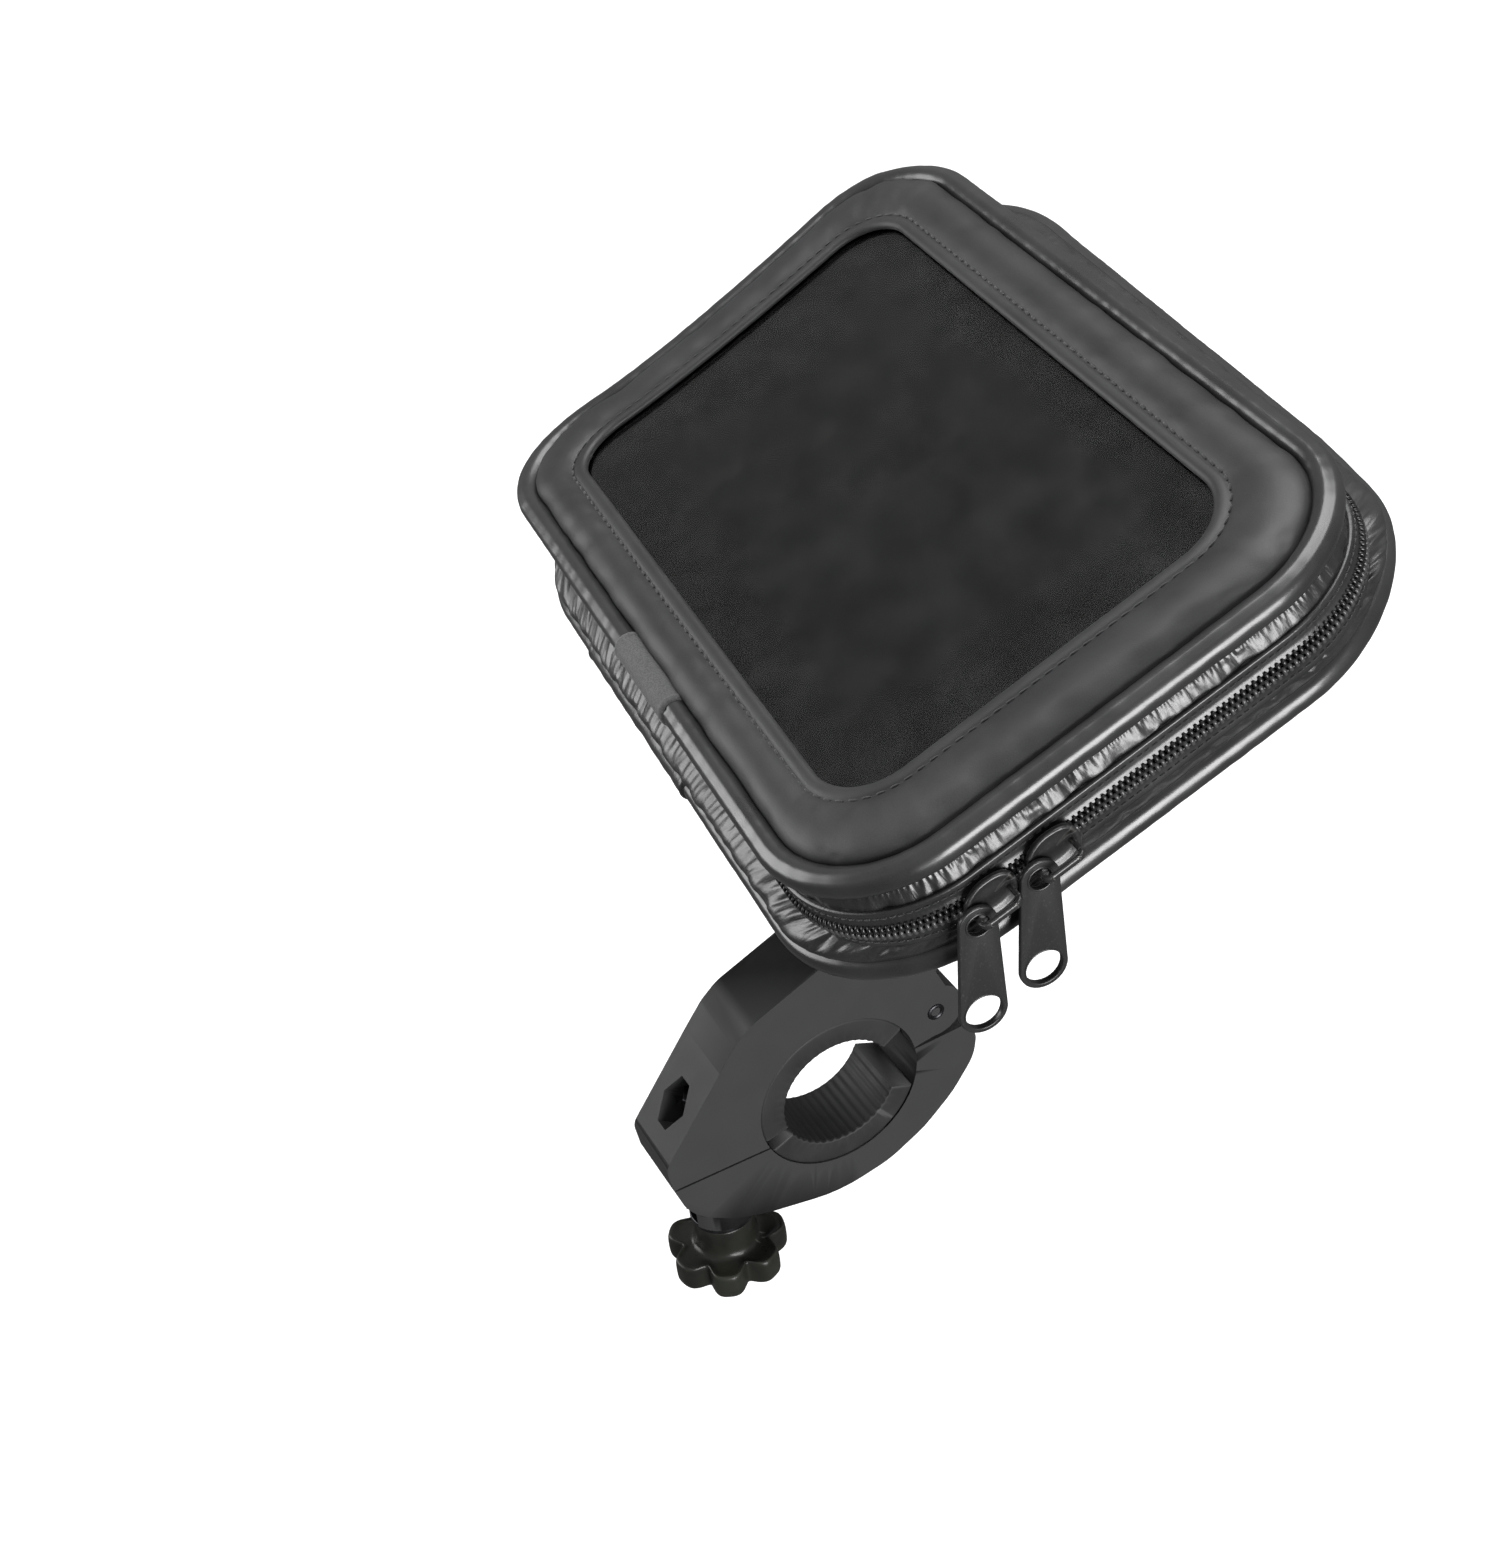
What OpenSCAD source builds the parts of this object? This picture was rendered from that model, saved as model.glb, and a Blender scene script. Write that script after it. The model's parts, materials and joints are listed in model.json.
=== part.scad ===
/* [Handlebar clamp] */
// Diameter of the handlebar that the rubber liners close on
bar_d = 25.4; // [22.2:0.1:26]
// Width of the clamp band along the handlebar
band_w = 16; // [15:0.5:20]
// Radius of the round opening in the two jaws
jaw_bore_r = 18.5; // [18:0.1:19]
// Diameter over the lobes of the star knob
knob_d = 26; // [24:0.5:28]
// Number of lobes on the star knob
knob_lobes = 7; // [5:1:9]

/* [Ball joint] */
// Diameter of the ball
ball_d = 17; // [16:0.1:17.2]
// Distance of the ball forward of the handlebar axis
ball_y = 46.4; // [44:0.2:48]
// Height of the ball above the handlebar axis
ball_z = 85.1; // [85:0.2:92]
// Outer diameter of the locking ring
ring_d = 31; // [30:0.5:33]

/* [Case] */
// Length of the case over its front piping
case_l = 178.5; // [170:0.5:190]
// Width of the case over its front piping
case_w = 112; // [108:0.5:120]
// Corner radius of the front piping, measured outside
corner_r = 26; // [24:0.5:30]
// Diameter of the piping
piping_d = 5.2; // [4.8:0.1:5.6]
// Length of the window
window_l = 140; // [125:0.5:142]
// Width of the window
window_w = 78.5; // [74:0.5:82]
// Corner radius of the window
window_r = 12; // [8:0.5:16]
// Angle by which the forward edge of the case is raised
case_pitch = 24.2; // [10:0.2:30]
// Angle by which the case is turned away from the handlebar
case_yaw = -5.4; // [-10:0.2:10]

/* [Hidden] */
$fn = 48;
eps = 0.01;
run_gap = 0.05;

black = [0.09, 0.09, 0.1];
soft_black = [0.16, 0.16, 0.17];
steel = [0.6, 0.6, 0.62];

// ---- Clamp, drawn as outlines of [forward, up] and extruded along the bar ----
liner_r = bar_d / 2 + run_gap;
parting_z = -6.85;
parting_gap = 0.5;
pin_y = 23.9;
pin_z = 10.3;
pin_r = 2;
ear_r = 6.5;
ear_gap = 0.35;
tongue_w = 6;
arm_w = 14;
screw_y = -27;
screw_r = 2.45;
screw_hole_r = 2.6;
nut_af = 8;
nut_t = 4;
nut_z = 4.5;
screw_tip_z = 13;
seat_z = -25.2;
seat_r = 7.5;
washer_t = 1.5;
hub_r = 6.5;
hub_h = 7.2;
disc_h = 6.8;
knob_gap = 0.1;
washer_z = seat_z - knob_gap - washer_t;
hub_top_z = washer_z - knob_gap;
disc_top_z = hub_top_z - hub_h;
disc_bottom_z = disc_top_z - disc_h;

face_low = [-40.4, -0.1];
face_high = [-25.7, 19.1];
face_angle = atan2(face_high[1] - face_low[1], face_high[0] - face_low[0]);
window_at = face_low + 0.46 * (face_high - face_low);
window_half = [4.4, 5.6];

boss_r = 7.5;
boss_top_z = 70;
upper_outline = [
  [-39.6, parting_z + parting_gap / 2], face_low, face_high, [-21.2, 24.7],
  [-17.4, 27.9], [0.4, 35.4], [15, 41.5], [25.1, 20], [27.5, 14.2],
  [pin_y, 4], [0, 0], [-10, parting_z + parting_gap / 2]
];
arm_outline = [
  [0.4, 35.4], [15, 41.5], [28, 52], [36, 62], [ball_y - boss_r + 1, boss_top_z - 1],
  [ball_y + boss_r - 1, boss_top_z - 1], [ball_y + boss_r - 1, 58], [49, 46],
  [36, 32], [25.1, 20], [10, 22]
];
lower_outline = [
  [-10, parting_z - parting_gap / 2], [-39.2, parting_z - parting_gap / 2],
  [-37.8, -12.5], [-34.7, -17.3], [-27, -22.2], [-19.3, -24.8], [-2.7, -28.1],
  [10, -25.4], [19, -20.6], [26.4, -14.2], [32.2, -6.6], [33.2, -0.9],
  [31.2, 3.2], [17.8, 2.6], [0, 0]
];

// ---- Ball joint, drawn with the ball's centre as the origin ----
ball_r = ball_d / 2;
neck_r = 3.5;
stud_r = 2.97;
cup_in_r = ball_r + run_gap;
cup_r = 10.5;
cavity_r = 10.58;
opening_a = 65.5;
socket_r = 13;
socket_low = -3;
flange_r = 17;
flange_low = 12.5;
socket_top = 15.5;
spigot_r = 6;
spigot_h = 2.4;
plate_low = 15.7;
plate_t = 4.7;
plate_floor = 2.2;

// ---- Case, drawn with the closed zip's plane as z = 0 ----
standoff = 40.1;
piping_r = piping_d / 2;
front_z = 11;
back_z = -11;
flare_rear = 6;
flare_front = 7.5;
back_w = case_w + flare_rear + flare_front;
back_shift = (flare_front - flare_rear) / 2;
back_corner_r = corner_r + 6;
seam_in = piping_d + 0.25;
zip_in = 1.85;
skin_t = 1.2;
split = 0.3;
tape_h = 4.3;
tape_t = 0.8;
coil_t = 1;
coil_h = 1.1;
track_x = case_l / 2 - zip_in + 0.1 + tape_t + coil_t;
lid_top = 15.9;
panel_low = 11.05;
film_z = 12.4;
film_t = 0.5;
window_shift = [-0.6, -1];
spine_from = -42;
spine_to = 30;
skirt_z = 4.8;
seam_z = 8.3;
bottom_z = -19.6;
bottom_t = 1.4;
stiffener_t = 1.5;
stiffener_z = bottom_z + bottom_t + 0.05;
pad_low = -15.2;
pad_top = -0.6;
screw_pitch = [50, 34];
head_h = 1.05;

// ---- Zip sliders and pulls ----
slider_l = 10;
slider_w = 7.4;
slider_gap = 0.3;
slider_1_y = -30;
slider_2_y = -18;
plate_h = 1;
bridge_r = 0.6;
bar_x = 4.6;
bar_t = 1;
leg_y = -3.7;
leg_z = -0.6;
far_leg_y = 3.4;
tab_t = 1;
tab_l = 24.5;
tab_top_w = 6.8;
tab_end_w = 8.6;
eye_r = 2;
end_hole_r = 3.3;
tab_x = slider_gap + plate_h + 1;

// ======================= shared shapes =======================

// Extrudes an outline of [forward, up] along the bar, centred on the clamp
module along_bar(width) {
  rotate([90, 0, 90]) translate([0, 0, -width / 2]) linear_extrude(width) children();
}

module upright(r, low, high) {
  translate([0, 0, low]) cylinder(r = r, h = high - low);
}

module at_screw() {
  translate([0, screw_y, 0]) children();
}

module at_ball() {
  translate([0, ball_y, ball_z]) children();
}

// Frame whose z axis is the case's normal, with the ball's centre as origin
module on_ball() {
  at_ball() rotate([0, 0, case_yaw]) rotate([case_pitch, 0, 0]) children();
}

module in_case() {
  on_ball() translate([0, 0, standoff]) children();
}

module rounded(l, w, r) {
  square([l - 2 * r, w], center = true);
  square([l, w - 2 * r], center = true);
  for (x = [-1, 1], y = [-1, 1])
    translate([x * (l / 2 - r), y * (w / 2 - r)]) circle(r);
}

// Plate with the case's outline, moved in by a margin, between two heights
module outline_plate(l, w, r, margin, low, high, shift = 0) {
  translate([0, shift, low]) linear_extrude(high - low)
    rounded(l - 2 * margin, w - 2 * margin, r - margin);
}

module case_plate(margin, low, high) {
  outline_plate(case_l, case_w, corner_r, margin, low, high);
}

module back_plate(margin, low, high) {
  outline_plate(case_l, back_w, back_corner_r, margin, low, high, back_shift);
}

module case_ring(margin, t, low, high) {
  difference() {
    case_plate(margin, low, high);
    case_plate(margin + t, low - 1, high + 1);
  }
}

module window_plate(margin, low, high) {
  translate([window_shift[0], window_shift[1], low]) linear_extrude(high - low)
    rounded(window_l + 2 * margin, window_w + 2 * margin, window_r + margin);
}

// Closed loop of round piping around a rounded rectangle
module piping(l, w, r, shift) {
  turn_r = r - piping_r;
  x = l / 2 - r;
  y = w / 2 - r;
  translate([0, shift, 0]) {
    for (s = [-1, 1]) {
      translate([-x, s * (w / 2 - piping_r), 0]) rotate([0, 90, 0]) cylinder(r = piping_r, h = 2 * x);
      translate([s * (l / 2 - piping_r), y, 0]) rotate([90, 0, 0]) cylinder(r = piping_r, h = 2 * y);
    }
    for (q = [0:3])
      translate([(q == 0 || q == 3) ? x : -x, (q < 2) ? y : -y, 0]) rotate([0, 0, 90 * q])
        rotate_extrude(angle = 90) translate([turn_r, 0]) circle(piping_r);
  }
}

// Sleeve sewn around the joint of a piping, on the side nearest the rider. It stops short of the seam
module sleeve(from, to, y, z) {
  reach = piping_r + 0.2;
  translate([from, y, z]) rotate([0, 90, 0]) difference() {
    cylinder(r = piping_r + 0.5, h = to - from);
    translate([0, 0, -1]) cylinder(r = piping_r + 0.02, h = to - from + 2);
    translate([-5, reach, -1]) cube([10, 5, to - from + 2]);
  }
}

// The stretch of the rider's side where the fabric spine takes the zip's place
module spine_gap() {
  translate([spine_from, -case_w / 2 - 2, -10]) cube([spine_to - spine_from, 12, 20]);
}

// ======================= clamp =======================

module nut_window() {
  translate([0, window_at[0], window_at[1]]) rotate([face_angle - 90, 0, 0])
    rotate([90, 0, 0]) translate([0, 0, -12]) linear_extrude(14)
      polygon([
        [window_half[0], 0], [window_half[0] * 0.4, window_half[1]],
        [-window_half[0] * 0.4, window_half[1]], [-window_half[0], 0],
        [-window_half[0] * 0.4, -window_half[1]], [window_half[0] * 0.4, -window_half[1]]
      ]);
}

module upper_jaw() {
  color(black) difference() {
    union() {
      along_bar(band_w) polygon(upper_outline);
      along_bar(band_w) translate([pin_y, pin_z]) circle(ear_r);
      along_bar(arm_w) polygon(arm_outline);
      translate([0, ball_y, 0]) upright(boss_r, 56, boss_top_z);
    }
    along_bar(band_w + 2) circle(jaw_bore_r);
    along_bar(tongue_w + 2 * ear_gap) translate([pin_y, pin_z]) circle(ear_r + ear_gap);
    along_bar(tongue_w + 2 * ear_gap) translate([pin_y - ear_r, -2]) square([ear_r + 12, pin_z + 2]);
    along_bar(band_w + 2) translate([pin_y, pin_z]) circle(pin_r);
    nut_window();
    at_screw() upright(screw_hole_r, -10, screw_tip_z + 0.6);
    translate([-nut_af / 2 - 0.1, screw_y - 4.8, nut_z - 0.1]) cube([nut_af + 0.2, 9.6, nut_t + 0.2]);
    translate([0, ball_y, 0]) upright(3, 58, boss_top_z + 1);
  }
}

module liner(from, to) {
  rotate([90, 0, 90]) rotate([0, 0, from]) rotate_extrude(angle = to - from)
    translate([liner_r, -band_w / 2]) square([jaw_bore_r - run_gap - liner_r, band_w]);
}

module upper_liner() {
  color(soft_black) liner(32, 195);
}

module lower_liner() {
  color(soft_black) liner(206, 337);
}

module clamp_nut() {
  color(steel) at_screw() difference() {
    translate([0, 0, nut_z]) rotate([0, 0, 30]) cylinder(r = nut_af / sqrt(3), h = nut_t, $fn = 6);
    upright(screw_r + run_gap, nut_z - 1, nut_z + nut_t + 1);
  }
}

module hinge_pin() {
  color(steel) translate([-band_w / 2 - 0.4, pin_y, pin_z]) rotate([0, 90, 0])
    cylinder(r = pin_r, h = band_w + 0.8);
}

module ball_stud() {
  color(steel) translate([0, ball_y, 0]) {
    translate([0, 0, ball_z]) sphere(ball_r, $fn = 64);
    upright(neck_r, boss_top_z + 2, ball_z - 6);
    translate([0, 0, boss_top_z + 0.02]) cylinder(r = 5.2, h = 2.2, $fn = 6);
    upright(stud_r, 58.2, boss_top_z + 1);
  }
}

module lower_jaw() {
  color(black) difference() {
    union() {
      difference() {
        along_bar(band_w) polygon(lower_outline);
        along_bar(band_w + 2) translate([pin_y, pin_z]) circle(ear_r + ear_gap);
      }
      along_bar(tongue_w) translate([pin_y, pin_z]) circle(ear_r);
      along_bar(tongue_w) polygon([[pin_y, pin_z], [pin_y + ear_r - 0.1, pin_z], [31.2, 3.2], [20, 2], [19, 6]]);
      at_screw() upright(seat_r, seat_z, -19);
    }
    along_bar(band_w + 2) circle(jaw_bore_r);
    along_bar(tongue_w + 2) translate([pin_y, pin_z]) circle(pin_r + run_gap);
    translate([-screw_hole_r - 0.3, screw_y - 14, -27]) cube([2 * screw_hole_r + 0.6, 17, 22]);
  }
}

module thrust_washer() {
  color(steel) at_screw() difference() {
    upright(7, washer_z, washer_z + washer_t);
    upright(screw_r + run_gap, washer_z - 1, washer_z + washer_t + 1);
  }
}

module star_knob() {
  lobe_r = knob_d * 0.135;
  color(black) at_screw() difference() {
    union() {
      upright(hub_r, disc_bottom_z + 1, hub_top_z);
      upright(knob_d / 2 - lobe_r, disc_bottom_z, disc_top_z);
      for (i = [0:knob_lobes - 1])
        rotate([0, 0, 360 * (i + 0.5) / knob_lobes]) translate([knob_d / 2 - lobe_r, 0, 0])
          upright(lobe_r, disc_bottom_z + 0.3, disc_top_z - 0.3);
    }
    upright(screw_r + 0.02, disc_bottom_z + 2, hub_top_z + 1);
  }
}

module knob_screw() {
  color(steel) at_screw() upright(screw_r, disc_bottom_z + 2, screw_tip_z);
}

// ======================= ball joint =======================

// The open cone below the ball in which the neck of the stud moves
module neck_cone() {
  depth = 16;
  translate([0, 0, -depth]) cylinder(h = depth, r1 = depth * tan(opening_a), r2 = 0);
}

module friction_cup() {
  color([0.75, 0.74, 0.7]) on_ball() difference() {
    sphere(cup_r, $fn = 64);
    sphere(cup_in_r, $fn = 64);
    neck_cone();
  }
}

module socket_body() {
  color(black) on_ball() difference() {
    union() {
      upright(socket_r, socket_low, flange_low + 1);
      upright(flange_r, flange_low, socket_top);
      upright(spigot_r, socket_top - 1, socket_top + spigot_h);
    }
    sphere(cavity_r, $fn = 64);
    upright(cavity_r, socket_low - 1, 0);
    upright(2, 11.2, socket_top + spigot_h + 1);
  }
}

module pivot_washer() {
  color(steel) on_ball() difference() {
    upright(8.8, socket_top + spigot_h + 0.02, socket_top + spigot_h + 0.9);
    upright(2, socket_top, socket_top + spigot_h + 2);
  }
}

module pivot_screw() {
  head_z = socket_top + spigot_h + 0.92;
  color(steel) on_ball() difference() {
    union() {
      upright(2, 11.4, head_z + 0.5);
      upright(3.6, head_z, head_z + 1.4);
    }
    translate([0, 0, head_z + 0.5]) cylinder(r = 1.6, h = 2, $fn = 6);
  }
}

module locking_ring() {
  flutes = 18;
  color(black) on_ball() difference() {
    upright(ring_d / 2, -7, 9);
    upright(socket_r + 0.08, socket_low - 0.2, 10);
    sphere(cavity_r + 0.1, $fn = 64);
    neck_cone();
    for (i = [0:flutes - 1])
      rotate([0, 0, 360 * i / flutes]) translate([ring_d / 2 + 0.9, 0, 0]) upright(1.6, -8, 7);
  }
}

// ======================= back half of the case =======================

module mount_plate() {
  color(black) on_ball() difference() {
    translate([0, 0, plate_low]) linear_extrude(plate_t) rounded(72, 54, 9);
    upright(spigot_r + run_gap, plate_low - 1, plate_low + plate_t + 1);
    upright(9.3, plate_low + plate_floor, plate_low + plate_t + 1);
    plate_screw_holes(plate_low + 1);
  }
}

module plate_screw_holes(low) {
  for (x = [-1, 1], y = [-1, 1])
    translate([x * screw_pitch[0] / 2, y * screw_pitch[1] / 2, 0]) upright(1.5, low, low + 12);
}

module plate_screws() {
  head_z = stiffener_z + stiffener_t + 0.02;
  color(steel) in_case()
    for (x = [-1, 1], y = [-1, 1])
      translate([x * screw_pitch[0] / 2, y * screw_pitch[1] / 2, 0]) {
        upright(1.5, plate_low + 1.2 - standoff, head_z + 0.3);
        upright(2.8, head_z, head_z + head_h);
      }
}

// Solid of the rear tray, shrunk by a wall
module tray(wall, drop) {
  hull() {
    back_plate(seam_in + wall, back_z - 0.3 + drop, back_z - 0.1 + drop);
    outline_plate(150, 94, 18, wall, bottom_z + drop, bottom_z + 2 + drop, 0.8);
  }
}

module back_panel() {
  color(soft_black) in_case() difference() {
    tray(0, 0, $fn = 32);
    tray(skin_t, bottom_t, $fn = 32);
    plate_screw_holes(bottom_z - 2);
  }
}

module stiffener_plate() {
  color([0.3, 0.3, 0.3]) in_case() difference() {
    outline_plate(146, 90, 16, 0, stiffener_z, stiffener_z + stiffener_t, 0.8);
    plate_screw_holes(bottom_z - 2);
  }
}

module hook_strips() {
  color([0.05, 0.05, 0.05]) in_case()
    for (x = [-1, 1])
      translate([x * 52, 0.8, stiffener_z + stiffener_t + 0.02]) linear_extrude(1) rounded(20, 64, 3);
}

module foam_pad() {
  color([0.12, 0.12, 0.12]) in_case() outline_plate(149, 90, 15, 0, pad_low, pad_top, 0.4);
}

// Skin that runs between two outlines: [length, width, radius, shift] at two heights
module skin(low, high, a, b) {
  difference() {
    hull() {
      outline_plate(a[0], a[1], a[2], 0, low, low + 0.1, a[3]);
      outline_plate(b[0], b[1], b[2], 0, high - 0.1, high, b[3]);
    }
    hull() {
      outline_plate(a[0], a[1], a[2], skin_t, low - eps, low + 0.1, a[3]);
      outline_plate(b[0], b[1], b[2], skin_t, high - 0.1, high + eps, b[3]);
    }
  }
}

module gusset_back() {
  at_zip = [case_l - 2 * zip_in, case_w - 2 * zip_in, corner_r - zip_in, 0];
  at_seam = [case_l - 2 * seam_in, back_w - 2 * seam_in, back_corner_r - seam_in, back_shift];
  color(black) in_case() {
    case_ring(zip_in, skin_t, -skirt_z, -split / 2);
    skin(-seam_z, -skirt_z, at_seam, at_zip, $fn = 32);
    difference() {
      back_plate(seam_in, back_z, -seam_z);
      back_plate(seam_in + skin_t, back_z - 1, -seam_z + 1);
    }
  }
}

module back_piping() {
  color(black) in_case() translate([0, 0, back_z]) piping(case_l, back_w, back_corner_r, back_shift);
}

module back_piping_sleeve() {
  color(soft_black) in_case() sleeve(-42, 12, back_shift - back_w / 2 + piping_r, back_z);
}

module zip_tape_back() {
  color(black) in_case() difference() {
    case_ring(zip_in - 0.1 - tape_t, tape_t, -split / 2 - tape_h, -split / 2);
    spine_gap();
  }
}

module zip_coil_back() {
  color(black) in_case() difference() {
    case_ring(zip_in - 0.12 - tape_t - coil_t, coil_t, -split / 2 - coil_h, -split / 2);
    spine_gap();
  }
}

module spine_strip(low, high) {
  translate([spine_from + 0.3, -case_w / 2 + zip_in - 1.1, low])
    cube([spine_to - spine_from - 0.6, 1, high - low]);
}

module spine_back() {
  color(soft_black) in_case() spine_strip(-split / 2 - tape_h, -split / 2);
}

// ======================= lid half of the case =======================

module lid_frame() {
  color(soft_black) in_case() difference() {
    case_plate(seam_in, panel_low, lid_top);
    window_plate(0, panel_low - 1, lid_top + 1);
    window_plate(4, panel_low - 1, film_z + film_t + 0.1);
  }
}

module window_film() {
  color([0.8, 0.85, 0.9, 0.3]) in_case() window_plate(3.7, film_z, film_z + film_t);
}

module window_binding() {
  color(black) in_case() difference() {
    window_plate(3.7, panel_low, film_z - 0.02);
    window_plate(0, panel_low - 1, film_z + 1);
  }
}

module lid_lining() {
  color(black) in_case() difference() {
    case_plate(seam_in + skin_t + 0.2, panel_low - 1.2, panel_low - 0.05);
    window_plate(0, panel_low - 2, panel_low + 1);
  }
}

module gusset_lid() {
  at_zip = [case_l - 2 * zip_in, case_w - 2 * zip_in, corner_r - zip_in, 0];
  at_seam = [case_l - 2 * seam_in, case_w - 2 * seam_in, corner_r - seam_in, 0];
  color(black) in_case() {
    case_ring(zip_in, skin_t, split / 2, skirt_z);
    skin(skirt_z, seam_z, at_zip, at_seam, $fn = 32);
    case_ring(seam_in, skin_t, seam_z, panel_low - 0.05);
  }
}

module front_piping() {
  color(black) in_case() translate([0, 0, front_z]) piping(case_l, case_w, corner_r, 0);
}

module front_piping_sleeve() {
  color(soft_black) in_case() sleeve(-6, 19, -case_w / 2 + piping_r, front_z);
}

module zip_tape_lid() {
  color(black) in_case() difference() {
    case_ring(zip_in - 0.1 - tape_t, tape_t, split / 2, split / 2 + tape_h);
    spine_gap();
  }
}

module zip_coil_lid() {
  color(black) in_case() difference() {
    case_ring(zip_in - 0.12 - tape_t - coil_t, coil_t, split / 2, split / 2 + coil_h);
    spine_gap();
  }
}

module spine_lid() {
  color(soft_black) in_case() spine_strip(split / 2, split / 2 + tape_h);
}

// ======================= zip sliders and pulls =======================

// Slider frame: x outwards, y along the zip, origin on the outside of the coil
module at_slider(y) {
  in_case() translate([track_x, y, 0]) children();
}

module slider(y) {
  color(black) at_slider(y) {
    translate([slider_gap, 0, 0]) rotate([90, 0, 90]) linear_extrude(plate_h)
      rounded(slider_l, slider_w, 3.2);
    for (leg = [leg_y, far_leg_y])
      translate([slider_gap + plate_h - 0.2, leg, leg_z]) rotate([0, 90, 0])
        cylinder(r = bridge_r, h = bar_x - slider_gap - plate_h + 0.4);
    translate([bar_x, leg_y - bridge_r, leg_z - bridge_r])
      cube([bar_t, far_leg_y - leg_y + 2 * bridge_r, 2 * bridge_r]);
  }
}

// Pull tab: hangs straight down from the leg of the slider's bridge
module pull(y) {
  rise = bridge_r + 0.25;
  end_y = tab_end_w / 2 - tab_l;
  color(black) at_slider(y) translate([tab_x, leg_y, leg_z]) rotate([-case_pitch, 0, 0])
    translate([0, 0, rise]) rotate([90, 0, 90]) translate([0, 0, -tab_t / 2]) difference() {
      union() {
        translate([0, -eye_r, 0]) cylinder(r = tab_top_w / 2, h = tab_t);
        translate([0, end_y, 0]) cylinder(r = tab_end_w / 2, h = tab_t);
        linear_extrude(tab_t) polygon([
          [-tab_top_w / 2 + 0.02, -eye_r], [tab_top_w / 2 - 0.02, -eye_r],
          [tab_end_w / 2 - 0.02, end_y], [-tab_end_w / 2 + 0.02, end_y]
        ]);
      }
      translate([0, -eye_r, -1]) cylinder(r = eye_r, h = tab_t + 2);
      translate([0, end_y, -1]) cylinder(r = end_hole_r, h = tab_t + 2);
    }
}

module zip_slider_1() {
  slider(slider_1_y);
}

module zip_slider_2() {
  slider(slider_2_y);
}

module zip_pull_1() {
  pull(slider_1_y);
}

module zip_pull_2() {
  pull(slider_2_y);
}

upper_jaw();
upper_liner();
clamp_nut();
hinge_pin();
ball_stud();
lower_jaw();
lower_liner();
thrust_washer();
star_knob();
knob_screw();
friction_cup();
socket_body();
pivot_washer();
pivot_screw();
locking_ring();
mount_plate();
plate_screws();
back_panel();
stiffener_plate();
hook_strips();
foam_pad();
gusset_back();
back_piping();
back_piping_sleeve();
zip_tape_back();
zip_coil_back();
spine_back();
lid_frame();
window_film();
window_binding();
lid_lining();
gusset_lid();
front_piping();
front_piping_sleeve();
zip_tape_lid();
zip_coil_lid();
spine_lid();
zip_slider_1();
zip_slider_2();
zip_pull_1();
zip_pull_2();
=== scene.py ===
"""Looks of the bicycle phone mount: zipped soft case, handlebar clamp and star knob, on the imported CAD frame.

Shapes are drawn in millimetres in three frames and placed in metres:
  CASE   u along the case, v across it (forward), n out of the window; n = 0 is the plane of the closed zip
  CLAMP  x along the handlebar, y forward, z up; the origin is on the handlebar's axis
  ZIP    x outwards from the zip's coil at the case's right end, y along v, z along n
"""
import json
import math

import bmesh
import bpy
import numpy as np
from mathutils import Matrix, Vector


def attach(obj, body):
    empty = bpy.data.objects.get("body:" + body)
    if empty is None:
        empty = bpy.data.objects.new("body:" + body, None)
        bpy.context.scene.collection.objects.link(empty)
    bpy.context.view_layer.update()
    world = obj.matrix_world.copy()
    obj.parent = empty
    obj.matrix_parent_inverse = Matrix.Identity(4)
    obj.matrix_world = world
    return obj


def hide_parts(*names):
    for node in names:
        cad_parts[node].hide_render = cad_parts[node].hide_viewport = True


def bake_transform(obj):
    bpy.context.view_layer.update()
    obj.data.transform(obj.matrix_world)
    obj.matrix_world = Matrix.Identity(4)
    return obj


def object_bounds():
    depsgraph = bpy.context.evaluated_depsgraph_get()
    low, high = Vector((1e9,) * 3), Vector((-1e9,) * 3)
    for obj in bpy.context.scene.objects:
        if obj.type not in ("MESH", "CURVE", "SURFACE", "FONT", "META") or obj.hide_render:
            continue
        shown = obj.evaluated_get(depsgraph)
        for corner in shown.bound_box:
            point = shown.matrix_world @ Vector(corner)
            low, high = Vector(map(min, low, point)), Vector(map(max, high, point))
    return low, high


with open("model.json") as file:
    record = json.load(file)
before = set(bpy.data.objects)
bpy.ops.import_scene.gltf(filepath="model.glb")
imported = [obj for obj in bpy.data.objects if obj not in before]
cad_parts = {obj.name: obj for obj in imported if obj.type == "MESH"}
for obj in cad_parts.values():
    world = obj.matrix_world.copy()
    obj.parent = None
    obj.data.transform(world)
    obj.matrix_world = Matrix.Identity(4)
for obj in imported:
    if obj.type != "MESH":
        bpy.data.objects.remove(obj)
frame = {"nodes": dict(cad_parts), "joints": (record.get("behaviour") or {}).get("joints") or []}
cad_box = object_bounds()
MM = 0.001

# ======================= frames =======================

joints = {j["name"]: j for j in frame["joints"]}
N = Vector(joints["case_spin"]["axis"]).normalized()
U = Vector(joints["lid_hinge"]["axis"]).normalized()
V = N.cross(U)
BALL = Vector(joints["case_pitch"]["pos_m"])
HINGE_V = -56.3


def axes_matrix(origin, x, y, z, unit=MM):
    """Matrix from lengths along three axes at an origin to the frame that the axes are given in."""
    m = np.eye(4)
    m[:3, :3] = np.column_stack([x, y, z]) * unit
    m[:3, 3] = origin
    return Matrix(m.tolist())


CASE = axes_matrix(Vector(joints["lid_hinge"]["pos_m"]) - V * HINGE_V * MM, U, V, N)
ON_BALL = axes_matrix(BALL, U, V, N)
CLAMP = Matrix.Diagonal((MM, MM, MM, 1))


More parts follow.
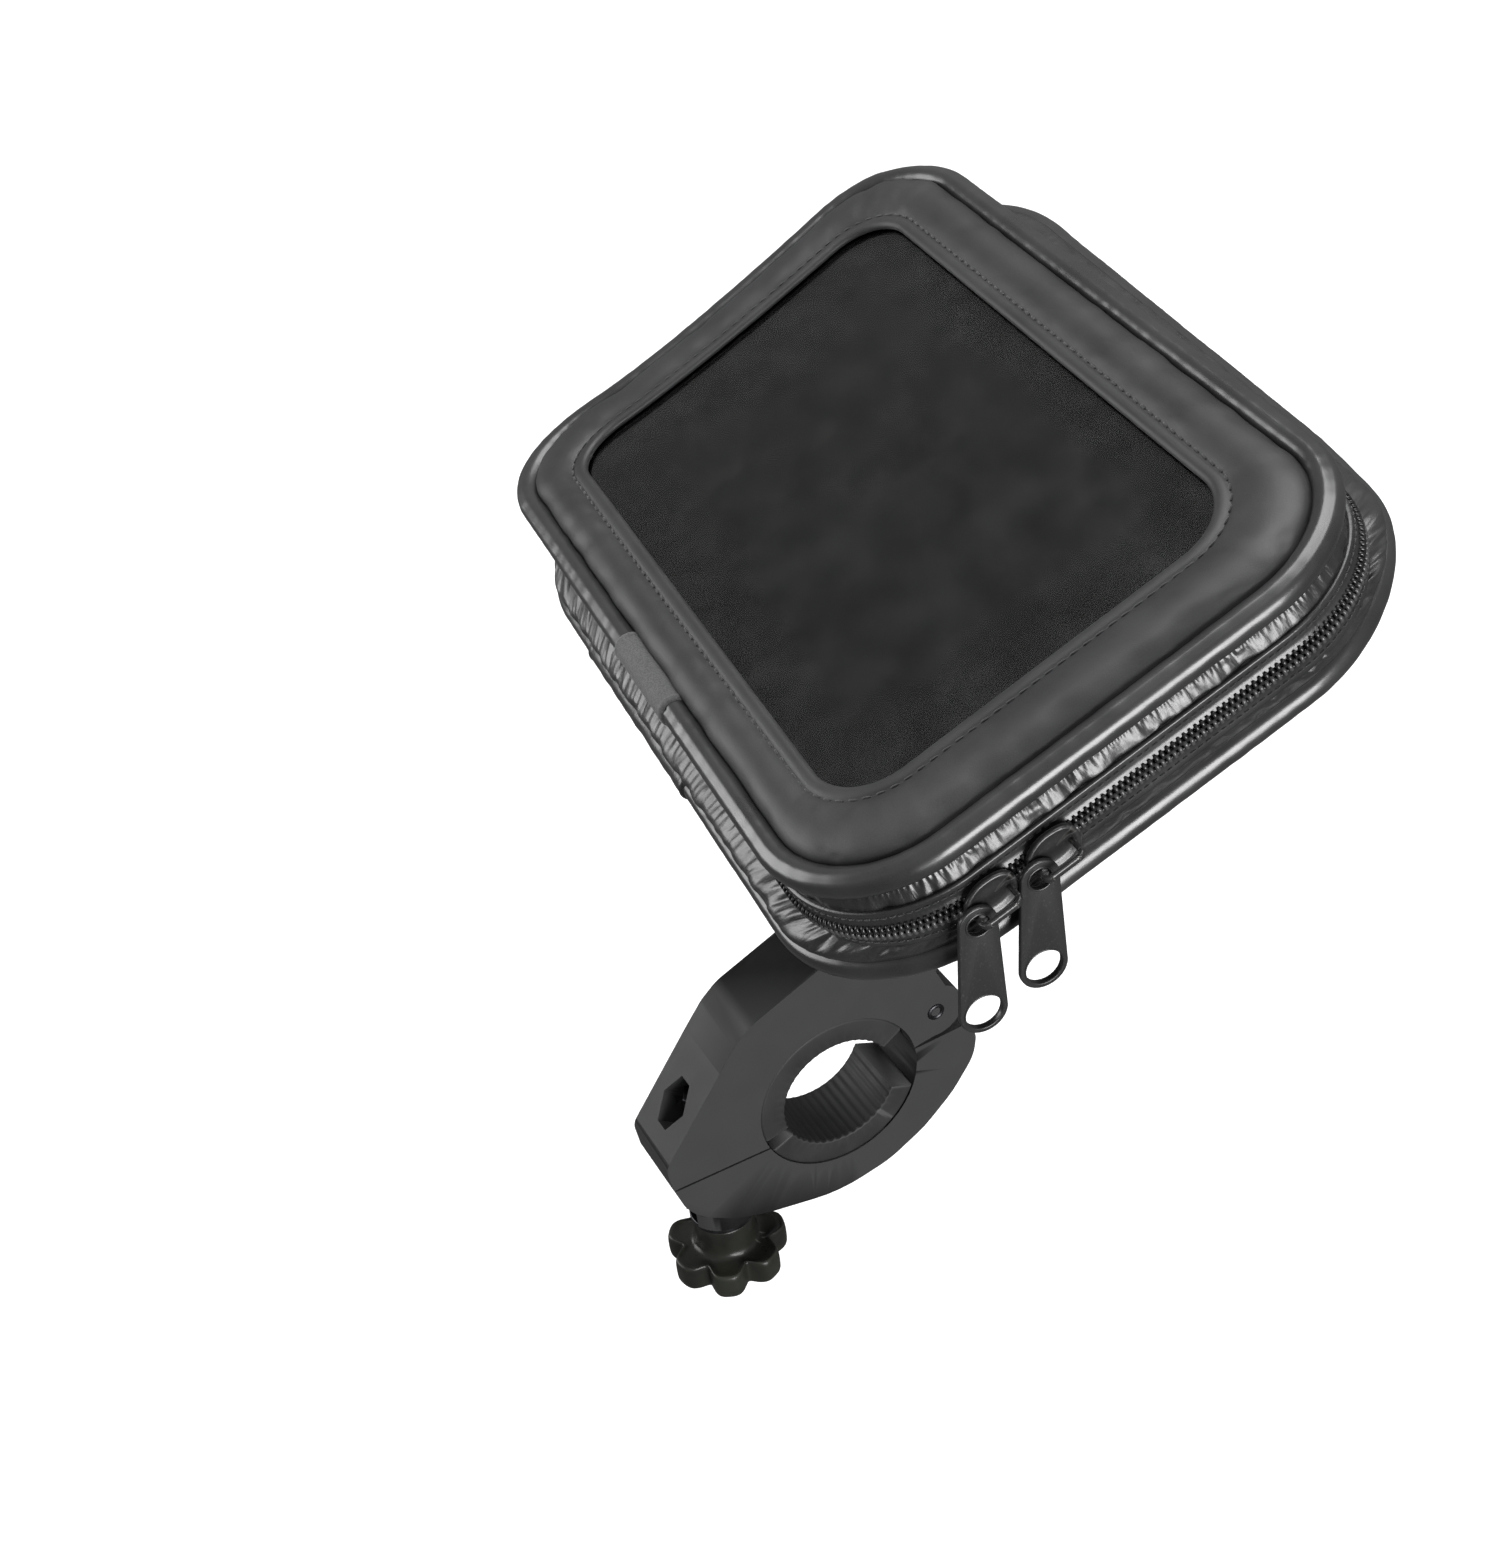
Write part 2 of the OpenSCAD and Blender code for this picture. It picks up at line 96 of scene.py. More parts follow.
def place(matrix, points):
    """Points in millimetres in one of the frames, as an array in metres."""
    m = np.array(matrix, float)
    return np.asarray(points, float) @ m[:3, :3].T + m[:3, 3]


def case_point(u, v, n):
    return Vector(place(CASE, [(u, v, n)])[0])


# ======================= driving sizes, in millimetres =======================

CASE_L, CASE_W, CORNER_R = 178.5, 112.0, 26.0
PIPING_R = 2.6
FRONT_N, BACK_N = 11.0, -11.0
BACK_W, BACK_CORNER_R, BACK_SHIFT = 125.5, 32.0, 0.75
SEAM_IN, ZIP_IN = 5.45, 1.85
WINDOW_L, WINDOW_W, WINDOW_R = 140.0, 78.5, 12.0
WINDOW_SHIFT = (-0.6, -1.0)
FILM_N = 12.4
BOTTOM_N = -19.6
SPINE_FROM, SPINE_TO = -42.0, 30.0
TAPE_OUT = 0.9
COIL_OUT = 1.9
COARSE = (56, 18, 27)  # columns on a long side, a corner and a short side
TRACK_COLUMNS = 2 * (COARSE[0] + COARSE[2]) + 4 * COARSE[1]
WAVE_COUNT = 26
TINY = 1e-9
SIM_SCALE = 0.02
BAND_FRAMES, PAD_FRAMES = 10, 16


# ======================= how the sewn case has settled out of shape =======================

def ramp(values, start, end):
    """0 at start, 1 at end, smooth between."""
    t = np.clip((values - start) / (end - start), 0, 1)
    return t * t * (3 - 2 * t)


def settle(points):
    """Bends points of the case frame as the filled case in the photograph has settled on its plate.

    The left end is drawn in round the middle of its side, and behind the zip the forward edge and its corners
    have slipped forward and to the left.
    """
    points = np.array(points, float)
    u, v, n = points[..., 0].copy(), points[..., 1].copy(), points[..., 2].copy()
    off_middle = v + 22
    reach = np.where(off_middle > 0, 66, 34)
    hollow = ramp(-u, 42, 86) * np.cos(np.clip(off_middle / reach, -1, 1) * math.pi / 2)
    behind = ramp(-n, 4.5, 10)
    forward = behind * ramp(v, 8, 48)
    points[..., 0] += 4.6 * hollow - 2.0 * behind * ramp(u, 55, 88) - 7.5 * forward * ramp(-u, 40, 85)
    points[..., 1] += forward * (2.6 - 0.03 * u - 2.8 * ramp(u, 35, 85) + 1.5 * ramp(-u, 50, 88))
    points[..., 2] -= 2.0 * hollow
    return points


# ======================= grids: rows of points round the case =======================

def loop(length, width, radius, shift=(0, 0)):
    """Points round a rounded rectangle, anticlockwise from its right side, as rows of u and v."""
    x, y = length / 2 - radius, width / 2 - radius
    corners = np.array([(x, y), (-x, y), (-x, -y), (x, -y)])
    points = []
    for q in range(4):
        for i in range(COARSE[1]):
            a = (q + i / COARSE[1]) * math.pi / 2
            points.append(corners[q] + (radius * math.cos(a), radius * math.sin(a)))
        a = (q + 1) * math.pi / 2
        out = (radius * math.cos(a), radius * math.sin(a))
        steps = COARSE[0] if q % 2 == 0 else COARSE[2]
        points += [corners[q] + (corners[(q + 1) % 4] - corners[q]) * (i / steps) + out for i in range(steps)]
    return np.array(points) + np.array(shift)


def case_loop(margin):
    return loop(CASE_L - 2 * margin, CASE_W - 2 * margin, CORNER_R - margin)


def back_loop(margin):
    return loop(CASE_L - 2 * margin, BACK_W - 2 * margin, BACK_CORNER_R - margin, (0, BACK_SHIFT))


def window_loop(margin):
    return loop(WINDOW_L + 2 * margin, WINDOW_W + 2 * margin, WINDOW_R + margin, WINDOW_SHIFT)


ZIP_LOOP = case_loop(ZIP_IN - TAPE_OUT)
ZIP_STEP = np.linalg.norm(np.roll(ZIP_LOOP, -1, 0) - ZIP_LOOP, axis=1)
TRACK_LENGTH = ZIP_STEP.sum()


def ring(outline, n):
    """One row of a grid: an outline of u and v at height n, which may differ along it."""
    return np.column_stack([outline, np.broadcast_to(n, len(outline))])


def between(first, second, stations):
    """Rows from one outline to another, at stations of fraction and height."""
    return [ring(first * (1 - t) + second * t, n) for t, n in stations]


def down_rows(grid):
    """0 at the first row of a grid, 1 at its last, as a column."""
    return np.linspace(0, 1, len(grid))[:, None]


def bell(values, middle, width):
    return np.exp(-((values - middle) / width) ** 2)


def displaced(grid, height):
    """Grid moved along its normals by a height at each point."""
    return grid + normals(grid) * height[:, :, None]


def spline(points, k, axis, closed):
    """Points with k - 1 new ones between each two, on a smooth curve through them."""
    p = np.moveaxis(points, axis, 0)
    if closed:
        before, after, after2 = np.roll(p, 1, 0), np.roll(p, -1, 0), np.roll(p, -2, 0)
        start = p
    else:
        ends = np.concatenate([[2 * p[0] - p[1]], p, [2 * p[-1] - p[-2]]])
        before, start, after, after2 = ends[:-3], ends[1:-2], ends[2:-1], ends[3:]
    out = []
    for i in range(k):
        t = i / k
        out.append(0.5 * (2 * start + (after - before) * t
                          + (2 * before - 5 * start + 4 * after - after2) * t ** 2
                          + (3 * start - before - 3 * after + after2) * t ** 3))
    out = np.stack(out, 1).reshape((-1,) + p.shape[1:])
    if not closed:
        out = np.concatenate([out, p[-1:]])
    return np.moveaxis(out, 0, axis)


def refine(grid, down, along):
    """A finer grid: down times the rows and along times the columns."""
    return spline(spline(grid, down, 0, False), along, 1, True)


def normals(grid, closed_rows=False):
    """Unit normal at each point of a grid, on the side that down x along gives."""
    down = np.roll(grid, -1, 0) - np.roll(grid, 1, 0) if closed_rows else np.gradient(grid, axis=0)
    n = np.cross(down, np.roll(grid, -1, 1) - np.roll(grid, 1, 1))
    return n / np.maximum(np.linalg.norm(n, axis=2, keepdims=True), TINY)


def waves(rows, columns, seed, shortest, longest, lean=0.0):
    """Smooth random ripples round the case, about -1 to 1, with wavelengths in mm. lean slants them."""
    rng = np.random.RandomState(seed)
    low, high = max(1, int(TRACK_LENGTH / longest)), int(TRACK_LENGTH / shortest)
    x = np.arange(columns) / columns * 2 * math.pi
    t = np.linspace(0, 1, rows)[:, None]
    total = np.zeros((rows, columns))
    for _ in range(WAVE_COUNT):
        k = rng.randint(low, high + 1)
        phase = rng.uniform(0, 2 * math.pi)
        slant = rng.uniform(-1, 1) * lean
        fade = rng.uniform(0, 2 * math.pi)
        total += np.cos(k * x + phase + slant * t * 6) * (0.6 + 0.4 * np.cos(2 * t + fade))
    return total / math.sqrt(WAVE_COUNT) * 1.1


# ======================= making objects =======================

def add_object(name, data):
    o = bpy.data.objects.new(name, data)
    bpy.context.scene.collection.objects.link(o)
    return o


def baked(name, *objects):
    """New object with the first object's modifiers applied. The objects are used up."""
    bpy.context.view_layer.update()
    mesh = bpy.data.meshes.new_from_object(objects[0].evaluated_get(bpy.context.evaluated_depsgraph_get()))
    mesh.name = name
    for o in objects:
        bpy.data.objects.remove(o)
    return add_object(name, mesh)


def mend(o, weld=0.0, below=None, turn=True):
    """Closes a mesh's open rims, or those of points numbered under below, and turns its faces outwards."""
    bm = bmesh.new()
    bm.from_mesh(o.data)
    if weld:
        bmesh.ops.remove_doubles(bm, verts=bm.verts, dist=weld)
    rims = [e for e in bm.edges if e.is_boundary and (below is None or all(v.index < below for v in e.verts))]
    if rims:
        bmesh.ops.holes_fill(bm, edges=rims)
    if turn:
        bmesh.ops.recalc_face_normals(bm, faces=bm.faces)
    bm.to_mesh(o.data)
    bm.free()
    return o


def smooth(o):
    o.data.polygons.foreach_set("use_smooth", [True] * len(o.data.polygons))
    return o


def subdivide(o):
    """One level of subdivision surface."""
    sub = o.modifiers.new("smooth", "SUBSURF")
    sub.levels = sub.render_levels = 1
    return o


def finish_piece(o, body, slot, look, *replaces):
    """Gives a piece its material and its body, and hides the CAD nodes that it stands for. slot is not used."""
    o.data.materials.clear()
    o.data.materials.append(look)
    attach(o, body)
    if replaces:
        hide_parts(*replaces)
    return o


def solid(name, points, faces, matrix):
    """Smooth object from points in millimetres in one of the frames."""
    mesh = bpy.data.meshes.new(name)
    mesh.from_pydata(place(matrix, points).tolist(), [], faces)
    mesh.update()
    return smooth(add_object(name, mesh))


def grid_object(name, grid, matrix=None, closed_rows=False, closed_columns=True, cap=False):
    """Object from a grid, with a UV map along and across it in millimetres. cap closes the last row.

    Without a matrix the grid is part of the soft case, and settles with it.
    """
    rows, columns = grid.shape[:2]
    index = np.arange(rows * columns).reshape(rows, columns)
    down = np.roll(index, -1, 0) if closed_rows else index[1:]
    here = index if closed_rows else index[:-1]
    faces = np.stack([here, down, np.roll(down, -1, 1), np.roll(here, -1, 1)], -1)
    if not closed_columns:
        faces = faces[:, :-1]
    face_rows, face_columns = faces.shape[:2]
    faces = faces.reshape(-1, 4).tolist()
    if cap:
        faces.append(index[-1].tolist())
    if matrix is None:
        matrix, grid = CASE, settle(grid)
    o = solid(name, grid.reshape(-1, 3), faces, matrix)
    along, across = (np.concatenate([[0], np.cumsum(
        np.linalg.norm(np.roll(grid, -1, axis) - grid, axis=2).mean(1 - axis))]) for axis in (1, 0))
    i, j = np.mgrid[0:face_rows, 0:face_columns]
    corners = [(j, i), (j, i + 1), (j + 1, i + 1), (j + 1, i)]
    uv = np.stack([np.stack([along[a], across[b]], -1) for a, b in corners], 2).reshape(-1, 2)
    values = np.zeros((len(o.data.loops), 2), np.float32)
    values[:len(uv)] = uv
    o.data.uv_layers.new(name="track").data.foreach_set("uv", values.ravel())
    return o


def thicken(o, thickness):
    """Gives a skin its thickness in millimetres, on its inner side."""
    m = o.modifiers.new("thickness", "SOLIDIFY")
    m.thickness, m.offset, m.use_even_offset = thickness * MM, -1, False
    return o


def points_of(mesh):
    points = np.zeros(len(mesh.vertices) * 3)
    mesh.vertices.foreach_get("co", points)
    return points.reshape(-1, 3)


def add_cloth(o, pressure):
    """Cloth with pressure inside and no gravity. Its settings are returned."""
    cloth = o.modifiers.new("cloth", "CLOTH")
    cloth.collision_settings.use_collision = False
    cloth.settings.use_pressure, cloth.settings.uniform_pressure_force = True, pressure
    cloth.settings.effector_weights.gravity = 0
    return cloth.settings


def simulate(o, frames):
    """Runs an object's cloth and returns where its points come to lie, in metres."""
    cache = o.modifiers["cloth"].point_cache
    cache.frame_start, cache.frame_end = 1, frames
    for f in range(1, frames + 1):
        bpy.context.scene.frame_set(f)
    points = points_of(o.evaluated_get(bpy.context.evaluated_depsgraph_get()).to_mesh())
    o.modifiers.clear()
    bpy.context.scene.frame_set(1)
    return points


def capped(moved, most):
    """Moves shortened to most where they are longer."""
    return moved * np.minimum(1, most / np.maximum(np.linalg.norm(moved, axis=-1, keepdims=True), TINY))


def relax(grid, held_rows, pressure, grow, cap, seed):
    """Cloth simulation of a band of fabric sewn down at held_rows, each point moving by at most cap.

    It runs on a copy at SIM_SCALE metres to the millimetre.
    """
    rows, columns = grid.shape[:2]
    start = grid + normals(grid) * (waves(rows, columns, seed, 6, 40) * 0.12)[:, :, None]
    start[held_rows] = grid[held_rows]
    o = grid_object("cloth_work", start * SIM_SCALE / MM, CLAMP)
    index = np.arange(rows * columns).reshape(rows, columns)
    o.vertex_groups.new(name="held").add(index[held_rows].ravel().tolist(), 1.0, "REPLACE")
    settings = add_cloth(o, pressure)
    for key, value in (("quality", 5), ("mass", 0.2), ("air_damping", 3), ("tension_stiffness", 18),
                       ("compression_stiffness", 18), ("shear_stiffness", 6), ("bending_stiffness", 0.15),
                       ("vertex_group_mass", "held"), ("shrink_min", -grow), ("shrink_max", -grow)):
        setattr(settings, key, value)
    settled = simulate(o, BAND_FRAMES).reshape(rows, columns, 3)
    bpy.data.objects.remove(o)
    return grid + capped(settled / SIM_SCALE - grid, cap)


def edges(o, width, from_cad=True):
    """Rounds the hard edges of a part by width millimetres, without touching its own mesh."""
    o.modifiers.new("weld", "WELD").merge_threshold = 2e-6
    if from_cad:
        flat = o.modifiers.new("flat", "DECIMATE")
        flat.decimate_type, flat.angle_limit = "DISSOLVE", math.radians(1.5)
    else:
        o.modifiers.new("triangles", "TRIANGULATE")
    bevel = o.modifiers.new("edges", "BEVEL")
    bevel.width, bevel.segments = width * MM, 3
    bevel.limit_method, bevel.angle_limit = "ANGLE", math.radians(32)
    even = o.modifiers.new("even", "WEIGHTED_NORMAL")
    even.weight, even.keep_sharp = 80, False
    return smooth(o)


def bend(a, corner, b, steps):
    """Points of a smooth bend from a to b that a corner pulls."""
    return [tuple(a * (1 - t) ** 2 + corner * 2 * t * (1 - t) + b * t ** 2)
            for t in (k / steps for k in range(steps + 1))]


def rounded_polygon(corners, radius, special=None):
    """Outline with its corners rounded. special gives other radii by corner number."""
    out = []
    for i, corner in enumerate(corners):
        p = Vector(corner)
        back, on = Vector(corners[i - 1]) - p, Vector(corners[(i + 1) % len(corners)]) - p
        r = (special or {}).get(i, radius)
        turn = math.pi - back.angle(on)
        if r <= 0 or turn < 0.02:
            out.append(tuple(p))
            continue
        reach = min(r * math.tan(turn / 2), back.length * 0.48, on.length * 0.48)
        steps = max(2, int(math.degrees(turn) / 5))
        out += bend(p + back.normalized() * reach, p, p + on.normalized() * reach, steps)
    return out


def skin(rings):
    """Points and faces of a solid on rings of equal count, closed at both ends."""
    count, rows = len(rings[0]), len(rings)
    steps = [(i * count + k, i * count + (k + 1) % count) for i in range(rows - 1) for k in range(count)]
    sides = [[a, b, b + count, a + count] for a, b in steps]
    ends = [list(range(count))[::-1], [(rows - 1) * count + k for k in range(count)]]
    return np.concatenate(rings), sides + ends


def prism(points, axis, low, high):
    """Closed straight-sided solid. Axis x takes [y, z] outlines and axis z takes [x, y] outlines."""
    rings = [[(h, a, b) if axis == "x" else (a, b, h) for a, b in points] for h in (low, high)]
    return mend(solid("prism", *skin(rings), CLAMP))


def box(y_low, y_high, z_low, z_high):
    """Outline of a rectangle."""
    return [(y_low, z_low), (y_high, z_low), (y_high, z_high), (y_low, z_high)]


def disc(centre, radius, steps=72):
    return [(centre[0] + radius * math.cos(2 * math.pi * i / steps),
             centre[1] + radius * math.sin(2 * math.pi * i / steps)) for i in range(steps)]


def carve(name, first, joined, cut):
    """Solid of first and joined, less cut. The pieces it is made from are used up."""
    for other, operation in [(o, "UNION") for o in joined] + [(o, "DIFFERENCE") for o in cut]:
        m = first.modifiers.new("carve", "BOOLEAN")
        m.operation, m.object, m.solver = operation, other, "EXACT"
    return baked(name, first, *joined, *cut)


def lathe(name, profile, matrix, segments=64, lobed=None):
    """Turned ring from a closed profile of radius and height. lobed(angle, radius, row) alters a radius."""
    angles = np.arange(segments) * 2 * math.pi / segments
    grid = np.zeros((len(profile), segments, 3))
    for row, (r, h) in enumerate(profile):
        radii = np.array([lobed(a, r, row) for a in angles]) if lobed else np.full(segments, r)
        grid[row] = np.column_stack([radii * np.cos(angles), radii * np.sin(angles), np.full(segments, h)])
    return grid_object(name, grid, matrix, closed_rows=True)


def round_profile(points, radius, steps=4):
    """Closed profile with every corner rounded, for lathe."""
    out = []
    points = np.array(points, float)
    for i, p in enumerate(points):
        back, on = points[i - 1] - p, points[(i + 1) % len(points)] - p
        lb, lo = np.linalg.norm(back), np.linalg.norm(on)
        reach = min(radius, lb * 0.45, lo * 0.45)
        out += bend(p + back / lb * reach, p, p + on / lo * reach, steps)
    return out


def tube(name, path, section, matrix, closed=False, up=(0, 0, 1)):
    """Sweeps a closed section of [side, up] offsets along a path, turning with it. Ends are capped."""
    path = np.array(path, float)
    ahead = np.roll(path, -1, 0) - np.roll(path, 1, 0) if closed else np.gradient(path, axis=0)
    ahead /= np.linalg.norm(ahead, axis=1, keepdims=True)
    side = np.cross(ahead, up)
    side /= np.linalg.norm(side, axis=1, keepdims=True)
    top = np.cross(side, ahead)
    grid = np.stack([path + side * s + top * t for s, t in section])
    o = grid_object(name, grid, matrix, closed_rows=True, closed_columns=closed)
    return o if closed else mend(o)


def repeat(name, points, faces, placings):
    """One object of many copies of a small shape. placings are 4x4 matrices to metres."""
    points = np.column_stack([points, np.ones(len(points))])
    every = np.concatenate([points @ np.array(m, float).T for m in placings])[:, :3]
    count = len(points)
    all_faces = [[v + i * count for v in f] for i in range(len(placings)) for f in faces]
    return solid(name, every, all_faces, Matrix.Identity(4))


def capsule(length, radius, flat=1.0, around=8):
    """Points and faces of a small thread-like capsule along x."""
    turns = [2 * math.pi * k / around for k in range(around)]
    return skin([[(x * length, radius * r * math.cos(a), radius * r * flat * math.sin(a)) for a in turns]
                 for x, r in ((-0.44, 0.6), (-0.3, 0.92), (0, 1.0), (0.3, 0.92), (0.44, 0.6))])


def along_loop(outline, n, pitch, skip=None):
    """Places every pitch mm along a closed outline at height n: point, forward and outward directions."""
    closed = np.concatenate([outline, outline[:1]])
    step = np.linalg.norm(np.diff(closed, axis=0), axis=1)
    far = np.concatenate([[0], np.cumsum(step)])
    count = int(round(far[-1] / pitch))
    found = []
    for i in range(count):
        s = far[-1] * i / count
        k = min(int(np.searchsorted(far, s, side="right")) - 1, len(outline) - 1)
        t = (s - far[k]) / step[k]
        p = closed[k] * (1 - t) + closed[k + 1] * t
        ahead = (closed[k + 1] - closed[k]) / step[k]
        if not (skip and skip(p)):
            found.append((np.array([*p, n]), np.array([*ahead, 0]), np.array([ahead[1], -ahead[0], 0])))
    return found


def placing(point, x, y, z):
    """Matrix that puts a small shape drawn in millimetres at a point of the settled case."""
    return np.array(CASE) @ np.array(axes_matrix(settle(point), x, y, z, 1))


# ======================= materials =======================

class Nodes:
    """Builds one procedural material. A value is a number, a colour or another node's output."""

    def __init__(self, name):
        self.material = bpy.data.materials.new(name)
        self.material.use_nodes = True
        self.tree = self.material.node_tree
        self.shader = self.tree.nodes["Principled BSDF"]
        self.where = self.add("TexCoord").outputs["Object"]

    def put(self, socket, value):
        if hasattr(value, "is_output"):
            self.tree.links.new(value, socket)
        elif isinstance(value, tuple) and len(value) < len(socket.default_value):
            socket.default_value = (*value, 1)
        else:
            socket.default_value = value

    def add(self, kind, *inputs, **values):
        """Node with its first inputs, and then its named inputs and properties."""
        node = self.tree.nodes.new("ShaderNode" + kind)
        for key, value in values.items():
            name = key.replace("_", " ")
            if name in node.inputs:
                self.put(node.inputs[name], value)
            else:
                setattr(node, key, value)
        for socket, value in zip(node.inputs, inputs):
            self.put(socket, value)
        return node

    def set(self, **values):
        for key, value in values.items():
            self.put(self.shader.inputs[key.replace("_", " ")], value)

    def noise(self, size_mm, detail=3.0, rough=0.55, where=None, distortion=0.0):
        """Noise whose blobs are about size_mm across."""
        return self.add("TexNoise", Vector=where or self.where, Scale=1000 / size_mm, Detail=detail,
                        Roughness=rough, Distortion=distortion).outputs["Fac"]

    def cells(self, size_mm, feature="DISTANCE_TO_EDGE"):
        node = self.add("TexVoronoi", feature=feature, Vector=self.where, Scale=1000 / size_mm)
        return node.outputs["Distance"]

    def remap(self, value, low, high, to_low, to_high):
        return self.add("MapRange", value, low, high, to_low, to_high).outputs["Result"]

    def mix(self, factor, a, b):
        node = self.add("Mix", data_type="RGBA")
        for socket, value in ((node.inputs["Factor"], factor), (node.inputs[6], a), (node.inputs[7], b)):
            self.put(socket, value)
        return node.outputs[2]

    def math(self, operation, a, b):
        return self.add("Math", a, b, operation=operation).outputs[0]

    def track(self, stretch_along, stretch_across):
        """The UV map in cells: one cell is stretch_along by stretch_across millimetres."""
        uv = self.add("UVMap", uv_map="track").outputs[0]
        return self.add("VectorMath", uv, (1 / stretch_along, 1 / stretch_across, 1),
                        operation="MULTIPLY").outputs[0]

    def bumps(self, *layers):
        """Bump layers of (height, distance in mm, strength), laid on one another."""
        last = None
        for height, distance, strength in layers:
            node = self.add("Bump", Height=height, Distance=distance * MM, Strength=strength)
            if last:
                self.put(node.inputs["Normal"], last)
            last = node.outputs["Normal"]
        self.set(Normal=last)


def grey(level):
    """A neutral dark colour, very slightly cool."""
    return level, level, level * 1.025


def scaled(colour, factor, lift=0.0):
    return tuple(min(1, c * factor + lift) for c in colour)


def leatherette(name, dark, light, rough, grain, grain_depth, coat=0.0, creases=0.0):
    """Coated leatherette: pebbled grain with painted shade between the pebbles, cloudy wear in colour and
    gloss, creases where it is gathered.
    """
    m = Nodes(name)
    cloud, fine, pebble = m.noise(14, 4), m.noise(grain * 0.5, 2), m.cells(grain)
    colour = m.mix(m.remap(cloud, 0.35, 0.65, 0, 1), dark, light)
    # Painted shade: the valleys between the pebbles are painted darker.
    valley_shade = m.remap(pebble, 0.0, 0.12, 1, 0)
    layers = [(pebble, grain_depth, 0.7), (fine, grain_depth * 0.5, 0.5)]
    if creases:
        layers.append((m.noise(1000, 4, 0.6, where=m.track(1.5, 7), distortion=0.6), 0.35, creases))
    m.bumps(*layers)
    # Base colour darkened by the painted shade in the pebbles' valleys.
    m.set(Base_Color=m.mix(m.math("MULTIPLY", valley_shade, 0.35), colour, scaled(dark, 0.5)),
          Roughness=m.math("ADD", m.remap(cloud, 0.3, 0.7, *rough), m.remap(fine, 0.3, 0.7, -0.04, 0.04)),
          Coat_Weight=coat, Coat_Roughness=0.25, Specular_IOR_Level=0.4)
    return m.material


def plastic(name, dark, light, rough, texture, depth, shine=0.4):
    """Moulded plastic: spark-eroded texture, cloudy gloss, faint scuffs, and a painted highlight on its sharp
    convex edges.
    """
    m = Nodes(name)
    cloud, speck = m.noise(9, 3), m.noise(texture, 2)
    scuff = m.remap(m.noise(2.2, 6, 0.7), 0.62, 0.72, 0, 1)
    # Painted highlight: mask of the sharp convex edges, which are painted brighter.
    edge = m.remap(m.add("NewGeometry").outputs["Pointiness"], 0.52, 0.6, 0, 1)
    colour = m.mix(m.remap(cloud, 0.35, 0.65, 0, 1), dark, light)
    m.bumps((speck, depth, 0.6), (m.noise(texture * 3, 2), depth, 0.3))
    # Base colour with the painted edge highlight laid in.
    m.set(Base_Color=m.mix(m.math("MULTIPLY", edge, 0.7), colour, scaled(light, 2, 0.03)),
          Roughness=m.math("ADD", m.remap(cloud, 0.3, 0.7, *rough), m.math("MULTIPLY", scuff, 0.08)),
          Specular_IOR_Level=shine)
    return m.material


def metal(name, colour, rough):
    """Bright turned steel with fine machining lines and dull patches."""
    m = Nodes(name)
    cloud = m.noise(3, 4)
    m.bumps((m.noise(0.25, 2), 0.01, 0.4))
    m.set(Base_Color=m.mix(m.remap(cloud, 0.35, 0.65, 0, 1), scaled(colour, 0.75), colour),
          Roughness=m.remap(cloud, 0.3, 0.7, *rough), Metallic=1.0)
    return m.material


def enamel(name):
    """Black enamel on zinc, speckled, worn bright along its raised edges."""
    m = Nodes(name)
    point = m.add("NewGeometry").outputs["Pointiness"]
    ragged = m.math("ADD", point, m.remap(m.noise(0.5, 3), 0.3, 0.7, -0.02, 0.02))
    worn = m.remap(ragged, 0.56, 0.62, 0, 1)
    speck = m.remap(m.noise(0.35, 2), 0.6, 0.75, 0, 1)
    base = m.mix(m.math("MULTIPLY", speck, 0.35), grey(0.014), (0.07, 0.07, 0.07))
    m.bumps((m.noise(0.3, 3), 0.03, 0.5))
    m.set(Base_Color=m.mix(worn, base, (0.22, 0.215, 0.21)), Roughness=m.remap(worn, 0, 1, 0.32, 0.28),
          Metallic=m.remap(worn, 0, 1, 0.0, 1.0))
    return m.material


def cloth(name, dark, light, size, depth, sheen=0.3):
    """Knitted or brushed cloth."""
    m = Nodes(name)
    knit, fuzz, cloud = m.cells(size, "F1"), m.noise(size * 0.6, 3), m.noise(10, 3)
    colour = m.mix(m.remap(knit, 0.1, 0.7, 0, 1), light, dark)
    m.bumps((knit, depth, 0.7), (fuzz, depth, 0.5))
    m.set(Base_Color=m.mix(m.remap(cloud, 0.3, 0.7, 0, 0.5), colour, dark),
          Roughness=m.remap(fuzz, 0.3, 0.7, 0.78, 0.95), Sheen_Weight=sheen, Sheen_Roughness=0.5)
    return m.material


def clear_film(name):
    """Clear soft film: see-through, with reflections that its own slight waves and smears break up."""
    m = Nodes(name)
    smear = m.noise(9, 3)
    tint = m.mix(m.remap(smear, 0.4, 0.7, 0, 1), (0.95, 0.96, 0.96), (0.93, 0.94, 0.945))
    wave = m.add("Bump", Distance=0.25 * MM, Strength=0.25, Height=m.noise(30, 1))
    shine = m.add("BsdfGlossy", Roughness=m.remap(smear, 0.3, 0.7, 0.05, 0.1), Normal=wave.outputs["Normal"])
    both = m.add("MixShader", m.add("Fresnel", IOR=1.45).outputs[0],
                 m.add("BsdfTransparent", Color=tint).outputs[0], shine.outputs[0])
    m.put(m.tree.nodes["Material Output"].inputs["Surface"], both.outputs[0])
    m.tree.nodes.remove(m.shader)
    return m.material


